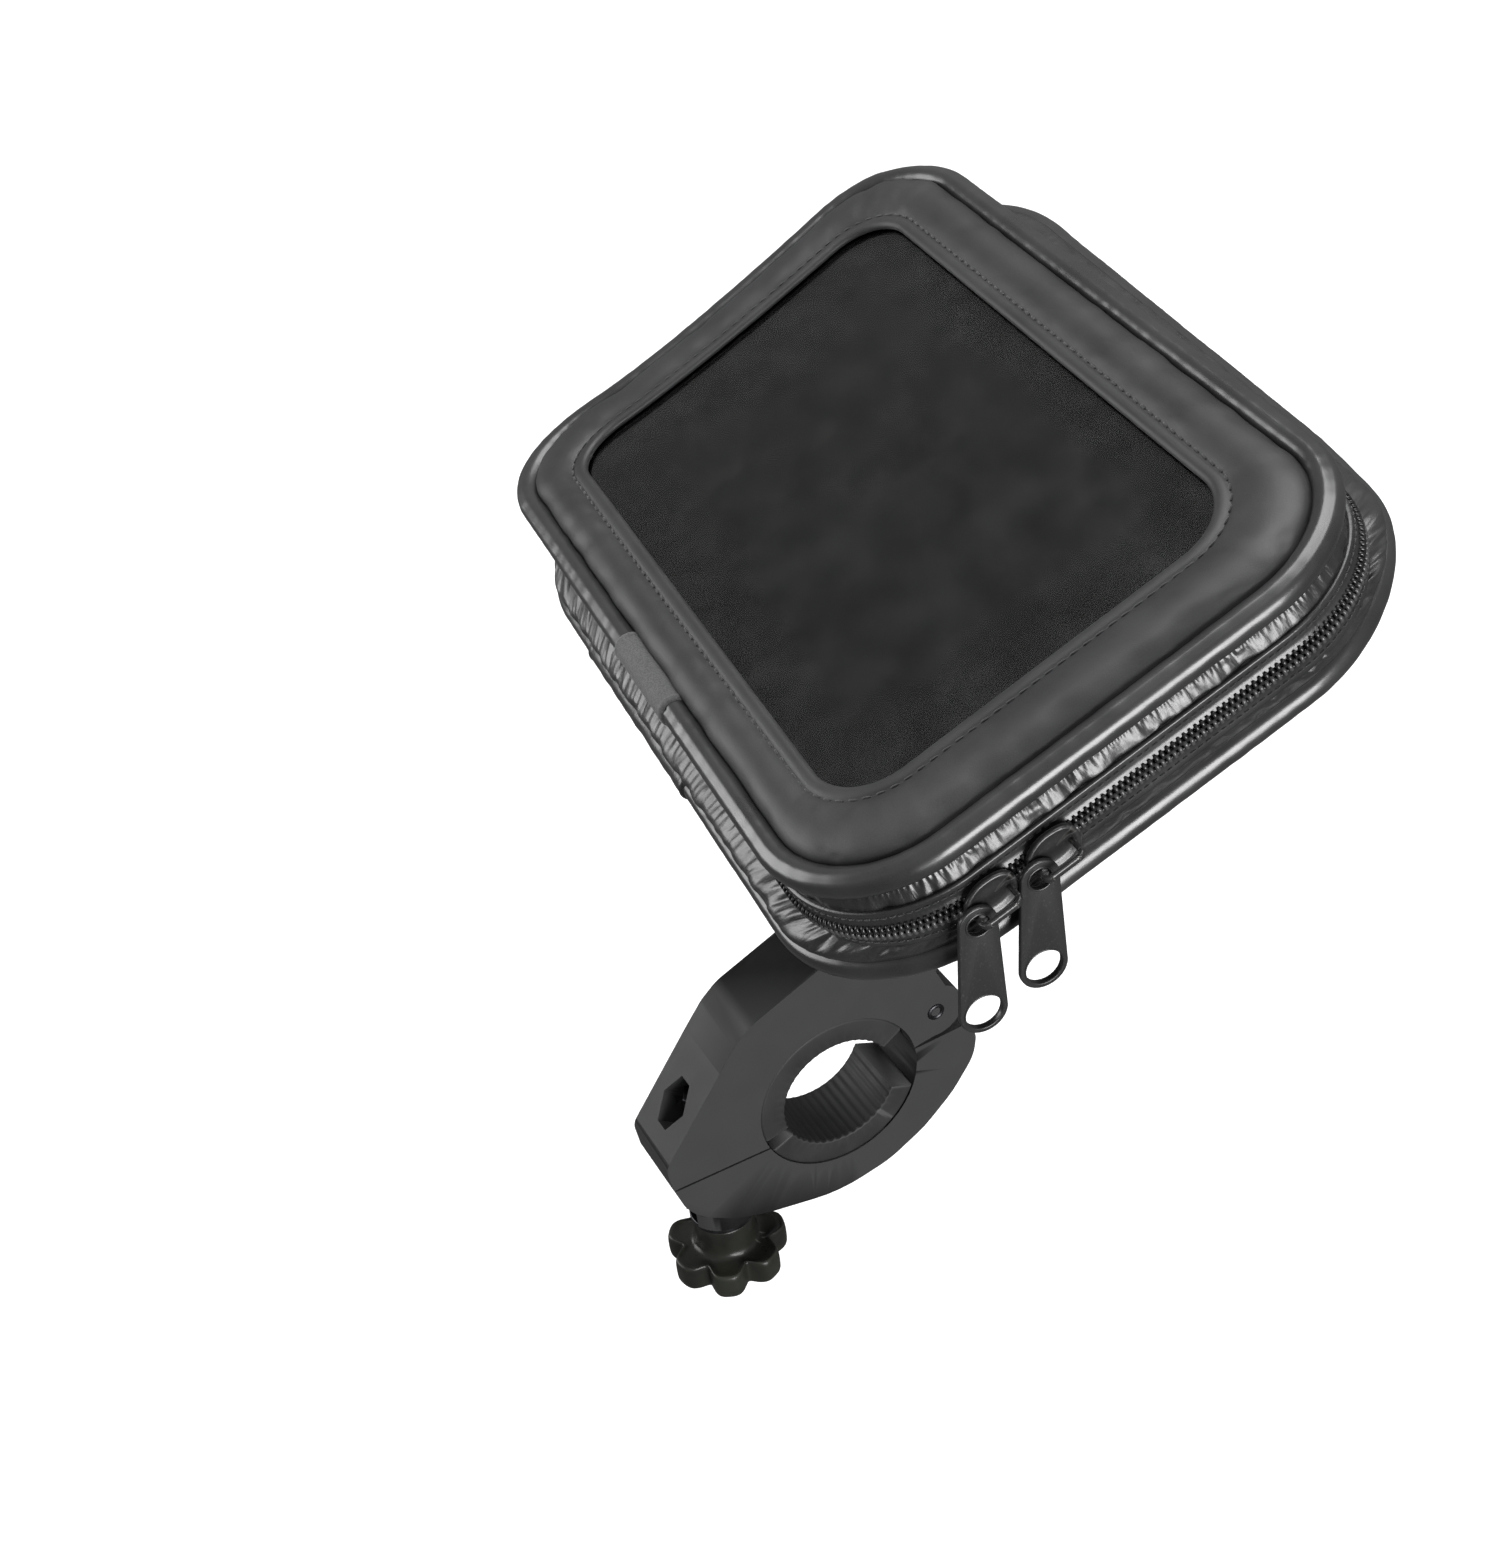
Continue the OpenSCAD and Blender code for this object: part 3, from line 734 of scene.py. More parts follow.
LID = leatherette("lid_leatherette", grey(0.018), grey(0.026), (0.44, 0.56), 0.45, 0.025)
GUSSET = leatherette("gusset_leatherette", grey(0.01), grey(0.02), (0.3, 0.44), 0.6, 0.03, 0.4, 0.6)
PIPING = leatherette("piping_leatherette", grey(0.014), grey(0.022), (0.28, 0.38), 0.4, 0.012, 0.4)
BACK = leatherette("back_leatherette", grey(0.012), grey(0.02), (0.45, 0.6), 0.6, 0.04)
SLEEVE = cloth("sleeve_cloth", grey(0.035), grey(0.1), 0.35, 0.05, 0.25)
LINING = cloth("lining_knit", grey(0.025), grey(0.06), 0.6, 0.06)
PAD = cloth("pad_cloth", grey(0.045), grey(0.085), 0.7, 0.04)
TAPE = leatherette("zip_tape_coated", grey(0.01), grey(0.02), (0.32, 0.44), 0.5, 0.02, 0.35, 0.4)
COIL = plastic("coil_nylon", grey(0.006), grey(0.014), (0.22, 0.34), 0.3, 0.01)
THREAD = cloth("thread", grey(0.004), grey(0.016), 0.2, 0.03)
CLAMP_LOOK = plastic("clamp_plastic", grey(0.004), grey(0.008), (0.42, 0.5), 0.22, 0.01, 0.14)
KNOB_LOOK = plastic("knob_plastic", (0.01, 0.0105, 0.009), (0.018, 0.019, 0.015), (0.26, 0.36), 0.3, 0.012,
                    0.22)
RUBBER = plastic("liner_rubber", grey(0.006), grey(0.014), (0.6, 0.75), 0.5, 0.05)
CUP_LOOK = plastic("cup_plastic", (0.4, 0.39, 0.35), (0.5, 0.49, 0.45), (0.35, 0.5), 0.5, 0.02)
STEEL = metal("bright_steel", (0.55, 0.55, 0.56), (0.22, 0.4))
DARK_STEEL = metal("dark_steel", (0.06, 0.06, 0.065), (0.3, 0.45))
BOARD = plastic("board", (0.1, 0.1, 0.1), (0.14, 0.14, 0.14), (0.5, 0.65), 0.6, 0.02)
ENAMEL = enamel("zip_enamel")
FILM = clear_film("clear_film")

# ======================= lid: padded frame, lining, binding, film =======================

FILM_TOP = FILM_N + 0.5
STITCH_IN = 3.1
CROWN_N = 15.3
SEAM_N = 11.55


def lid_frame():
    """Padded frame round the window: folded edge, stitched channel, and a crown that falls to the piping."""
    inner, outer = window_loop(0), case_loop(SEAM_IN - 0.7)
    reach = outer - inner
    length = np.linalg.norm(reach, axis=1)
    reach = reach / length[:, None]
    edge = [(0.25, FILM_TOP + 0.1), (0.02, 13.5), (0.2, 14.05), (0.9, 14.5), (1.9, 14.5), (2.6, 14.3),
            (STITCH_IN, 14.02), (3.6, 14.32)]
    rows = [ring(inner + reach * d, n) for d, n in edge]
    held, start = len(rows), edge[-1][0]
    for g in (0.12, 0.27, 0.44, 0.6, 0.74, 0.85, 0.93, 0.98, 1.0):
        rise = 14.45 + (CROWN_N - 14.45) * math.sin(min(1, g / 0.4) * math.pi / 2)
        fall = (1 - g ** 3.2) ** (1 / 2.6)
        along = (start + (length - start) * g)[:, None]
        rows.append(ring(inner + reach * along, SEAM_N + (rise - SEAM_N) * fall))
    grid = relax(np.stack(rows), [*range(held), len(rows) - 1], 1.2, 0.0, 0.35, 5)
    grid = refine(grid, 2, 3)
    count, columns = grid.shape[:2]
    row = np.arange(count)[:, None]
    soft = waves(count, columns, 8, 16, 70, 0.5) * np.clip((row - 2 * held) / 6, 0, 1)
    pucker = waves(count, columns, 12, 2.3, 2.7) * bell(row, 13, 2.2)
    o = thicken(grid_object("lid_frame_skin", displaced(grid, soft * 0.05 + pucker * 0.03)), 1.1)
    finish_piece(o, "lid", "case_leather", LID, "lid_frame")


def stitch_row(name, outline, n, pitch, length, radius, body, tilt=0.0, skip=None):
    """Row of sewn stitches along an outline."""
    placings = []
    for p, ahead, out in along_loop(outline, n, pitch, skip):
        x = ahead + out * tilt
        x = x / np.linalg.norm(x)
        placings.append(placing(p, x, np.cross((0, 0, 1), x), (0, 0, 1)))
    finish_piece(repeat(name, *capsule(length, radius, 0.8), placings), body, "zip_tape", THREAD)


def flat_ring(name, inner, outer, low, high, node):
    """Flat ring of the lid's lining cloth with rounded edges, between two outlines."""
    reach = outer - inner
    edge = reach / np.linalg.norm(reach, axis=1)[:, None] * 0.35
    middle, mid = inner + reach * 0.5, (low + high) / 2
    rows = [ring(inner, mid), ring(inner + edge, high), ring(middle, high), ring(outer - edge, high),
            ring(outer, mid), ring(outer - edge, low), ring(middle, low), ring(inner + edge, low)]
    o = grid_object(name, spline(np.stack(rows), 2, 1, True), closed_rows=True)
    finish_piece(o, "lid", "lining_fabric", LINING, node)


def window_film():
    """Clear film with its slight waves, as a closed sheet."""
    outer, centre = window_loop(3.5), np.array([WINDOW_SHIFT])
    fractions = np.array([1, 0.985, 0.95, 0.88, 0.78, 0.66, 0.54, 0.42, 0.3, 0.18, 0.08])
    grid = np.stack([ring(centre + (outer - centre) * f, FILM_N + 0.42) for f in fractions])
    count, columns = grid.shape[:2]
    bulge = np.array([0.0, 0.0, 0.02, 0.06, 0.1, 0.12, 0.14, 0.15, 0.15, 0.15, 0.15])[:, None]
    calm = np.minimum(1, fractions / 0.6)[:, None] ** 2
    grid[:, :, 2] -= bulge * (1 + 0.6 * calm * waves(count, columns, 21, 40, 160))
    o = mend(grid_object("window_film_sheet", grid[::-1]), below=columns, turn=False)
    finish_piece(thicken(o, 0.4), "lid", "window_film", FILM, "window_film")


# ======================= gussets, back panel, pad =======================

GUSSET_FINE = 12  # columns of a finished gusset to one of its coarse grid


def gusset_lid():
    """Front gusset: gathered under the piping, then flat to the zip."""
    seam, zip_line = case_loop(SEAM_IN - 0.7), case_loop(ZIP_IN - 0.15)
    rows = between(seam, zip_line, [(0, 10.6), (0.05, 9.5), (0.2, 8.6), (0.38, 7.7), (0.56, 6.8), (0.71, 5.9),
                                    (0.84, 5.0), (0.94, 4.1), (1, 3.2), (1, 2.4), (1, 1.7), (1, 0.95)])
    grid = relax(np.stack(rows), [0, 1, len(rows) - 2, len(rows) - 1], 1.5, 0.006, 0.5, 3)
    grid = refine(grid, 3, GUSSET_FINE)
    count, columns = grid.shape[:2]
    t = down_rows(grid)
    x = np.arange(columns)[None, :] / columns * 2 * math.pi
    gathers = np.cos(round(TRACK_LENGTH / 1.15) * x + 1.2 * waves(1, columns, 31, 8, 40) + 2.5 * t)
    gathers = gathers * bell(t, 0.26, 0.13) * 0.13
    creases = waves(count, columns, 33, 2.0, 7, 2.2) * bell(t, 0.42, 0.3) * 0.1
    slack = waves(count, columns, 34, 14, 60, 1.0) * np.sin(math.pi * t) * 0.16
    o = grid_object("gusset_front", displaced(grid, gathers + creases + slack))
    finish_piece(thicken(o, 0.9), "lid", "gusset_leather", GUSSET, "gusset_lid")


def gusset_back():
    """Back gusset: flat at the zip, bulging over the back piping, with slanted folds, most at the corners."""
    zip_line = case_loop(ZIP_IN - 0.15)
    rows = [ring(zip_line, -n) for n in (0.95, 1.7, 2.4, 3.1, 3.9)]
    rows += between(zip_line, back_loop(1.5),
                    [(0.06, -4.6), (0.3, -5.3), (0.56, -6.0), (0.8, -6.8), (0.95, -7.6)])
    tucked = [(1.5, -8.35), (2.2, -8.5), (3.4, -8.5), (4.4, -9.2), (4.7, -10.2)]
    rows += [ring(back_loop(margin), n) for margin, n in tucked]
    grid = relax(np.stack(rows), [0, 1, *range(len(rows) - len(tucked), len(rows))], 2.0, 0.012, 0.7, 4)
    grid = refine(grid, 3, GUSSET_FINE)
    count, columns = grid.shape[:2]
    t = down_rows(grid)
    corner = np.concatenate([np.repeat([1.0, 0.0], [COARSE[1], side]) for side in (COARSE[0], COARSE[2]) * 2])
    fade = np.hanning(25)
    corner = np.convolve(np.tile(corner, 3), fade / fade.sum(), "same")[TRACK_COLUMNS:-TRACK_COLUMNS]
    corner = spline(corner[None, :, None], GUSSET_FINE, 1, True)[:, :, 0]
    folds = waves(count, columns, 41, 5, 16, 3.0) * bell(t, 0.42, 0.2) * (0.16 + 0.3 * corner)
    creases = waves(count, columns, 42, 1.8, 5, 3.0) * bell(t, 0.42, 0.22) * (0.07 + 0.07 * corner)
    o = grid_object("gusset_rear", displaced(grid, folds + creases))
    finish_piece(thicken(o, 0.9), "case_back", "gusset_leather", GUSSET, "gusset_back")


def back_panel():
    """Rear tray: sewn to the back piping, turned over a rounded edge to a flat padded bottom."""
    def bottom(inset):
        return loop(150 - 2 * inset, 94 - 2 * inset, max(18 - inset, 4), (0, 0.8))

    rows = between(back_loop(SEAM_IN - 0.8), bottom(0),
                   [(0, -10.2), (0.03, -11.6), (0.12, -12.8), (0.35, -14.6), (0.62, -16.5), (0.82, -17.9),
                    (0.94, -18.8), (1.02, -19.35), (1.12, BOTTOM_N)])
    rows += [ring(bottom(inset), BOTTOM_N - dip) for inset, dip in
             ((6, 0.06), (9, 0.02), (12, 0.04), (17, 0.04), (26, 0.02))]
    grid = refine(np.stack(rows), 2, 2)
    soft = waves(*grid.shape[:2], 51, 12, 60, 1.0) * bell(down_rows(grid), 0.3, 0.18) * 0.25
    o = grid_object("rear_panel", displaced(grid, soft), cap=True)
    finish_piece(thicken(o, 1.2), "case_back", "case_leather", BACK, "back_panel")


def foam_pad():
    """Foam pad under the phone: cloth simulation with pressure on a slightly smaller block, capped."""
    stations = [(8, -15.2), (2.6, -15.1), (1.0, -13.8), (0.5, -11), (0.5, -5), (1.2, -2.6), (3.2, -1.7)]
    stations += [(inset, -1.4) for inset in (8, 14, 22, 30, 38)]
    rows = [ring(loop(149 - 2 * inset, 90 - 2 * inset, max(3, 15 - inset * 0.6), (0, 0.4)), n)
            for inset, n in stations]
    o = mend(grid_object("pad_work", np.stack(rows), cap=True))
    remesh = o.modifiers.new("remesh", "REMESH")
    remesh.mode, remesh.voxel_size = "VOXEL", 0.0035
    o = baked("foam_cushion", o)
    start = points_of(o.data)
    add_cloth(o, 4)
    settled = start + capped(simulate(o, PAD_FRAMES) - start, 0.8 * MM)
    o.data.vertices.foreach_set("co", settled.ravel())
    smooth(subdivide(o))
    finish_piece(o, "case_back", "foam", PAD, "foam_pad")


# ======================= piping and sleeves =======================

WELT_TURNS = 28


def piping(name, outline, n, seed, body, node):
    """Round welt: a cord wrapped in leatherette, with the crease of its seam along its upper outer side."""
    columns = len(outline)
    ahead = np.roll(outline, -1, 0) - np.roll(outline, 1, 0)
    ahead /= np.linalg.norm(ahead, axis=1, keepdims=True)
    out = np.column_stack([ahead[:, 1], -ahead[:, 0]])
    wobble = waves(1, columns, seed, 20, 90)[0] * 0.035
    rows = []
    for k in range(WELT_TURNS):
        a = -2 * math.pi * k / WELT_TURNS
        r = PIPING_R * (1 - 0.075 * bell(math.degrees(a) % 360, 62, 11)) + wobble
        rows.append(np.column_stack([outline + out * (r * math.cos(a))[:, None], n + r * math.sin(a)]))
    grid = spline(np.stack(rows), 3, 1, True)
    fine = waves(*grid.shape[:2], seed + 1, 3, 10, 0.5) * 0.03
    o = grid_object(name, grid + normals(grid, True) * fine[:, :, None], closed_rows=True)
    finish_piece(o, body, "piping", PIPING, node)


def sleeve(name, u_from, u_to, v, n, look, rumple, seed, body, node):
    """Sleeve wrapped over the joint of a piping, with rolled ends. rumple is the height of its folds."""
    phases = np.random.RandomState(seed).uniform(0, 2 * math.pi, 6)
    a = (np.arange(WELT_TURNS) * 2 * math.pi / WELT_TURNS)[:, None]
    t = np.linspace(0, 1, 60)[None, :]
    end = np.minimum(t, 1 - t) * (u_to - u_from)
    folds = sum(np.cos((4 + 3 * m) * t * math.pi + phases[m] + 1.5 * np.sin(a + m)) for m in range(6)) / 6
    lips = 0.16 * bell(end, 0.9, 0.5) - 0.42 * bell(end, 0, 0.35)
    r = PIPING_R + 0.42 + lips + rumple * folds * np.minimum(1, end / 3)
    grid = np.stack([u_from + (u_to - u_from) * t + 0 * r, v + r * np.cos(a), n + r * np.sin(a)], -1)
    o = grid_object(name, grid, closed_rows=True, closed_columns=False)
    finish_piece(thicken(o, 0.35), body, "case_leather", look, node)


# ======================= zip =======================

def on_spine(p):
    """True on the stretch of the rider's side where the fabric spine takes the zip's place."""
    return p[1] < -CASE_W / 2 + 6 and SPINE_FROM - 0.4 < p[0] < SPINE_TO + 0.4


def zip_tape(name, side, body, node):
    """Coated tape beside the coil: a fold over the coil's edge, then flat, with a selvedge."""
    columns = [i for i, p in enumerate(ZIP_LOOP) if not on_spine(p)]
    first = next(k for k in range(1, len(columns)) if columns[k] - columns[k - 1] != 1)
    columns = columns[first:] + columns[:first]
    rows = [ring(case_loop(ZIP_IN - TAPE_OUT - out)[columns], side * n) for out, n in
            ((-1.5, 4.2), (0.0, 4.45), (0.08, 4.1), (0.02, 3.4), (-0.02, 2.5), (0.1, 1.7), (0.42, 1.35),
             (0.45, 1.15), (0.0, 1.1), (-0.7, 1.1))]
    grid = spline(np.stack(rows), 4, 1, False)
    o = grid_object(name, grid if side > 0 else grid[::-1], closed_columns=False)
    finish_piece(thicken(o, 0.3), body, "zip_tape", TAPE, node)


def zip_coil(name, side, body, node):
    """Half of the nylon coil: one bent loop per tooth, side by side."""
    pitch, tooth_l, tooth_w, tooth_h = 1.12, 1.06, 0.78, 0.68
    section = [(math.cos(a) * tooth_w / 2, math.sin(a) * tooth_h / 2) for a in np.arange(6) * math.pi / 3]
    path = np.array([(-0.35, 0.05), (0.05, 0.02), (0.3, 0.22), (0.34, 0.6), (0.3, 0.95), (0.05, 1.14),
                     (-0.35, 1.12)])
    rings = []
    for i, (x, n) in enumerate(path):
        d = path[min(i + 1, len(path) - 1)] - path[max(i - 1, 0)]
        d /= np.linalg.norm(d)
        rings.append([(s, x + d[1] * t, n - d[0] * t) for s, t in section])
    placings = []
    for p, ahead, out in along_loop(case_loop(ZIP_IN - COIL_OUT + 0.55), side * 0.12, pitch, on_spine):
        placings.append(placing(p + ahead * (pitch / 4 * side), ahead, out, (0, 0, side * tooth_l)))
    finish_piece(repeat(name, *skin(rings), placings), body, "zip_coil", COIL, node)


def spine_strip():
    """Strip of leatherette that joins lid and back on the rider's side."""
    u = np.linspace(SPINE_FROM - 1.5, SPINE_TO + 1.5, 90)
    v0 = -CASE_W / 2 + ZIP_IN
    profile = [(0.1, 5.2), (-0.35, 4.6), (-0.5, 3.2), (-0.72, 1.6), (-0.82, 0.0)]
    profile += [(v, -n) for v, n in profile[-2::-1]]
    phase = np.random.RandomState(71).uniform(0, 6, 4)
    rows = []
    for v, n in profile:
        wave = sum(np.cos(u / (2.4 + 1.7 * m) + phase[m] + n * 0.3) for m in range(4)) / 4 * 0.07
        rows.append(np.column_stack([u, v0 + v + wave, np.full(len(u), n)]))
    o = grid_object("spine_strip", spline(np.stack(rows), 4, 0, False), closed_columns=False)
    bm = bmesh.new()
    bm.from_mesh(o.data)
    bmesh.ops.solidify(bm, geom=list(bm.faces), thickness=0.7 * MM)
    bm.to_mesh(o.data)
    bm.free()
    smooth(mend(o))
    o.data.materials.append(GUSSET)
    case_point(0, HINGE_V, -2.2)
    case_point(0, HINGE_V, 2.2)
    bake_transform(o)
    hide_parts("spine_back", "spine_lid")


def zip_frame(y):
    """Frame of a slider: x outwards from the coil, y along the zip, z along the case's normal."""
    return axes_matrix(case_point(CASE_L / 2 - ZIP_IN + COIL_OUT, y, 0), U, V, N)


def plate_curve(name, outlines, thickness, round_r, matrix):
    """Flat plate with rounded edges from an outline and its holes, drawn in the frame's y and z."""
    curve = bpy.data.curves.new(name, "CURVE")
    curve.dimensions, curve.fill_mode = "2D", "BOTH"
    for points in outlines:
        line = curve.splines.new("POLY")
        line.points.add(len(points) - 1)
        for p, (y, z) in zip(line.points, points):
            p.co = (y, z, 0, 1)
        line.use_cyclic_u = True
    curve.extrude, curve.bevel_depth, curve.offset = thickness / 2 - round_r, round_r, -round_r
    curve.bevel_resolution = 3
    o = baked(name, add_object(name + "_work", curve))
    o.data.transform(matrix @ Matrix(((0, 0, 1, 0), (1, 0, 0, 0), (0, 1, 0, 0), (0, 0, 0, 1))))
    return smooth(mend(o, weld=1e-7))


def slider(number, y, body):
    """Slider: dished shield-shaped body with a raised rim, and a bridge that the pull hangs on."""
    matrix = zip_frame(y)
    outline = []
    for a in np.arange(72) * 2 * math.pi / 72:
        c, s = math.cos(a), math.sin(a)
        power = 2.6 if c > 0 else 1.7
        k = (abs(c) ** power + abs(s) ** power) ** (-1 / power)
        outline.append((5.0 * c * k, 3.7 * s * k))
    outline = np.array(outline)
    dish = ((0.9, 0.32), (0.98, 0.36), (1.0, 0.6), (1.0, 1.1), (0.97, 1.42), (0.9, 1.5), (0.82, 1.4),
            (0.74, 1.12), (0.6, 0.98), (0.4, 0.95), (0.2, 0.94))
    grid = np.stack([np.column_stack([np.full(len(outline), x), outline * f]) for f, x in dish])
    plate = mend(grid_object("slider_%d_body" % number, grid, matrix, cap=True))
    finish_piece(plate, body, "zip_metal", ENAMEL, "zip_slider_%d" % number)
    legs = rounded_polygon([(-3.7, 1.0), (-3.7, 5.1), (3.4, 5.1), (3.4, 1.0)], 1.2, {0: 0, 3: 0})
    path = spline(np.array([(x, v, -0.6) for v, x in legs]), 2, 0, False)
    section = [(k * 0.5 * math.sin(a), k * 0.6 * math.cos(a))
               for a, k in ((a, 1 - 0.12 * math.cos(4 * a)) for a in np.arange(16) * math.pi / 8)]
    finish_piece(tube("slider_%d_bridge" % number, path, section, matrix), body, "zip_metal", ENAMEL)


def pull(number, y, body):
    """Pull tab: tapered plate, rounded at both ends, with an eye over the bridge and a hole at its end."""
    hang = (zip_frame(y) @ Matrix.Translation((2.3, -3.7, -0.6)) @ Matrix.Rotation(-math.asin(V[2]), 4, "X")
            @ Matrix.Translation((0, 0, 0.85)))
    length, top_w, end_w, eye_r, end_r = 24.5, 6.8, 8.6, 2.0, 3.3
    end_z = end_w / 2 - length
    lean = math.asin((end_w - top_w) / 2 / (-eye_r - end_z))
    outline = []
    for width, z, start, turn in ((top_w, -eye_r, -lean, math.pi + 2 * lean),
                                  (end_w, end_z, math.pi + lean, math.pi - 2 * lean)):
        for i in range(29):
            a = start + turn * i / 28
            outline.append((width / 2 * math.cos(a), z + width / 2 * math.sin(a)))
    holes = [disc((0, -eye_r), eye_r, 40), disc((0, end_z), end_r, 56)]
    tab = plate_curve("pull_%d_tab" % number, [outline, *holes], 1.0, 0.24, hang)
    finish_piece(tab, body, "zip_metal", ENAMEL, "zip_pull_%d" % number)
    for label, z, r, lip in (("eye", -eye_r, eye_r + 0.16, 0.2), ("end", end_z, end_r + 0.14, 0.17)):
        for side, x in (("in", -0.48), ("out", 0.48)):
            path = [(x, *p) for p in disc((0, z), r, 48)]
            rim = tube("pull_%d_%s_rim_%s" % (number, label, side), path, disc((0, 0), lip, 8), hang,
                       closed=True, up=(1, 0, 0))
            finish_piece(rim, body, "zip_metal", ENAMEL)


# ======================= clamp =======================

PARTING_Z, PARTING_GAP = -6.85, 0.5
PIN = (23.9, 10.3)
EAR_R, EAR_GAP, SLOT_HALF = 6.5, 0.35, 3.35
BORE_R = 18.5
SCREW_Y = -27.0
FACE_LOW, FACE_HIGH = (-40.4, -0.1), (-25.7, 19.1)


def upper_jaw():
    """Upper jaw: band over the bar with the hexagonal window, ear for the pin, and the arm up to the ball."""
    high = PARTING_Z + PARTING_GAP / 2
    band = rounded_polygon(
        [(-39.6, high), FACE_LOW, FACE_HIGH, (-21.2, 24.7), (-17.4, 27.9), (0.4, 35.4), (15, 41.5),
         (25.1, 20), (27.5, 14.2), (PIN[0], 4), (0, 0), (-10, high)],
        9, {0: 0.3, 1: 4, **{corner: 0 for corner in range(5, 12)}})
    arm = rounded_polygon(
        [(0.4, 35.4), (15, 41.5), (28, 52), (36, 62), (39.9, 69), (52.9, 69), (52.9, 58), (49, 46), (36, 32),
         (25.1, 20), (10, 22)], 12, {0: 0, 1: 0, 4: 1, 5: 1, 9: 0, 10: 0})
    joined = [prism(disc(PIN, EAR_R), "x", -7.99, 7.99), prism(arm, "x", -7, 7),
              prism(disc((0, 46.4), 7.45), "z", 56, 70)]
    tilt = math.atan2(FACE_HIGH[1] - FACE_LOW[1], FACE_HIGH[0] - FACE_LOW[0])
    middle = [(a + 0.46 * (b - a)) * MM for a, b in zip(FACE_LOW, FACE_HIGH)]
    half_w, half_h = 4.4, 5.6
    hexagon = [(x * half_w, y * half_h)
               for x, y in ((1, 0), (0.4, 1), (-0.4, 1), (-1, 0), (-0.4, -1), (0.4, -1))]
    window = prism(hexagon, "z", -2, 12)
    window.data.transform(Matrix.Translation((0, *middle)) @ Matrix.Rotation(tilt - math.pi, 4, "X"))
    cut = [prism(disc((0, 0), BORE_R, 120), "x", -9, 9),
           prism(disc(PIN, EAR_R + EAR_GAP), "x", -SLOT_HALF, SLOT_HALF),
           prism(box(PIN[0] - EAR_R, PIN[0] + 12, -2, PIN[1]), "x", -SLOT_HALF, SLOT_HALF), window,
           prism(box(SCREW_Y - 4.8, SCREW_Y + 4.8, 4.4, 8.6), "x", -4.1, 4.1),
           prism(disc((0, SCREW_Y), 2.6, 32), "z", -10, 13.6)]
    o = carve("jaw_upper", prism(band, "x", -8, 8), joined, cut)
    finish_piece(edges(o, 0.55, from_cad=False), "clamp", "clamp_plastic", CLAMP_LOOK, "upper_jaw")


def lower_jaw():
    """Lower jaw: band under the bar, open slot for the screw at the rear and the tongue round the pin."""
    low = PARTING_Z - PARTING_GAP / 2
    band = rounded_polygon(
        [(-10, low), (-39.2, low), (-37.8, -12.5), (-34.7, -17.3), (-27, -22.2), (-19.3, -24.8),
         (-2.7, -28.1), (10, -25.4), (19, -20.6), (26.4, -14.2), (32.2, -6.6), (33.2, -0.9), (31.2, 3.2),
         (17.8, 2.6), (0, 0)],
        9, {0: 0, 1: 0.5, 5: 14, 6: 30, 7: 20, 8: 20, 9: 20, 10: 14, 11: 5, 12: 2, 13: 0, 14: 0})
    tongue = [PIN, (PIN[0] + EAR_R - 0.1, PIN[1]), (31.2, 3.2), (20, 2), (19, 6)]
    first = carve("jaw_work", prism(band, "x", -8, 8), [], [prism(disc(PIN, EAR_R + EAR_GAP), "x", -9, 9)])
    joined = [prism(disc(PIN, EAR_R - 0.02), "x", -3, 3), prism(tongue, "x", -3, 3),
              prism(disc((0, SCREW_Y), 7.5), "z", -25.2, -19)]
    cut = [prism(disc((0, 0), BORE_R, 120), "x", -9, 9), prism(disc(PIN, 2.05, 32), "x", -4, 4),
           prism(box(-2.9, 2.9, SCREW_Y - 14, SCREW_Y + 3), "z", -27, -5)]
    o = carve("jaw_lower", first, joined, cut)
    finish_piece(edges(o, 0.55, from_cad=False), "lower_jaw", "clamp_plastic", CLAMP_LOOK, "lower_jaw")


def hinge_pin():
    """Hollow rivet: its rolled rims stand just proud of the ears."""
    ends = [(0.75, -7.2), (0.95, -7.75), (1.25, -8.35), (1.65, -8.4), (1.95, -8.2), (2.0, -7.9), (1.98, -7.0)]
    profile = ends + [(r, -z) for r, z in ends[::-1]] + [(0.75, 3.0), (0.75, -3.0)]
    axis = Matrix(((0, 0, 1, 0), (1, 0, 0, PIN[0]), (0, 1, 0, PIN[1]), (0, 0, 0, 1)))
    finish_piece(lathe("hinge_rivet", profile, CLAMP @ axis, 40), "clamp", "steel", DARK_STEEL, "hinge_pin")


def liner(name, start, end, body, node):
    """Rubber liner from one angle to another: ribbed inside where it grips, with rounded ends and edges."""
    inner, outer, half = 12.75, 18.42, 8.0
    a = np.radians(np.linspace(start, end, int((end - start) / 1.5) + 1))
    ribs = 0.22 * (0.5 + 0.5 * np.cos(a * 45))
    section = [(inner, -half), (outer, -half + 0.1), (outer, half - 0.1), (inner, half)]
    rows = []
    for r, x in round_profile(section, 0.7):
        radii = r + ribs * (r < inner + 0.3)
        rows.append(np.column_stack([np.full(len(a), x), radii * np.cos(a), radii * np.sin(a)]))
    o = mend(grid_object(name, np.stack(rows), CLAMP, closed_rows=True, closed_columns=False))
    finish_piece(o, body, "liner_rubber", RUBBER, node)


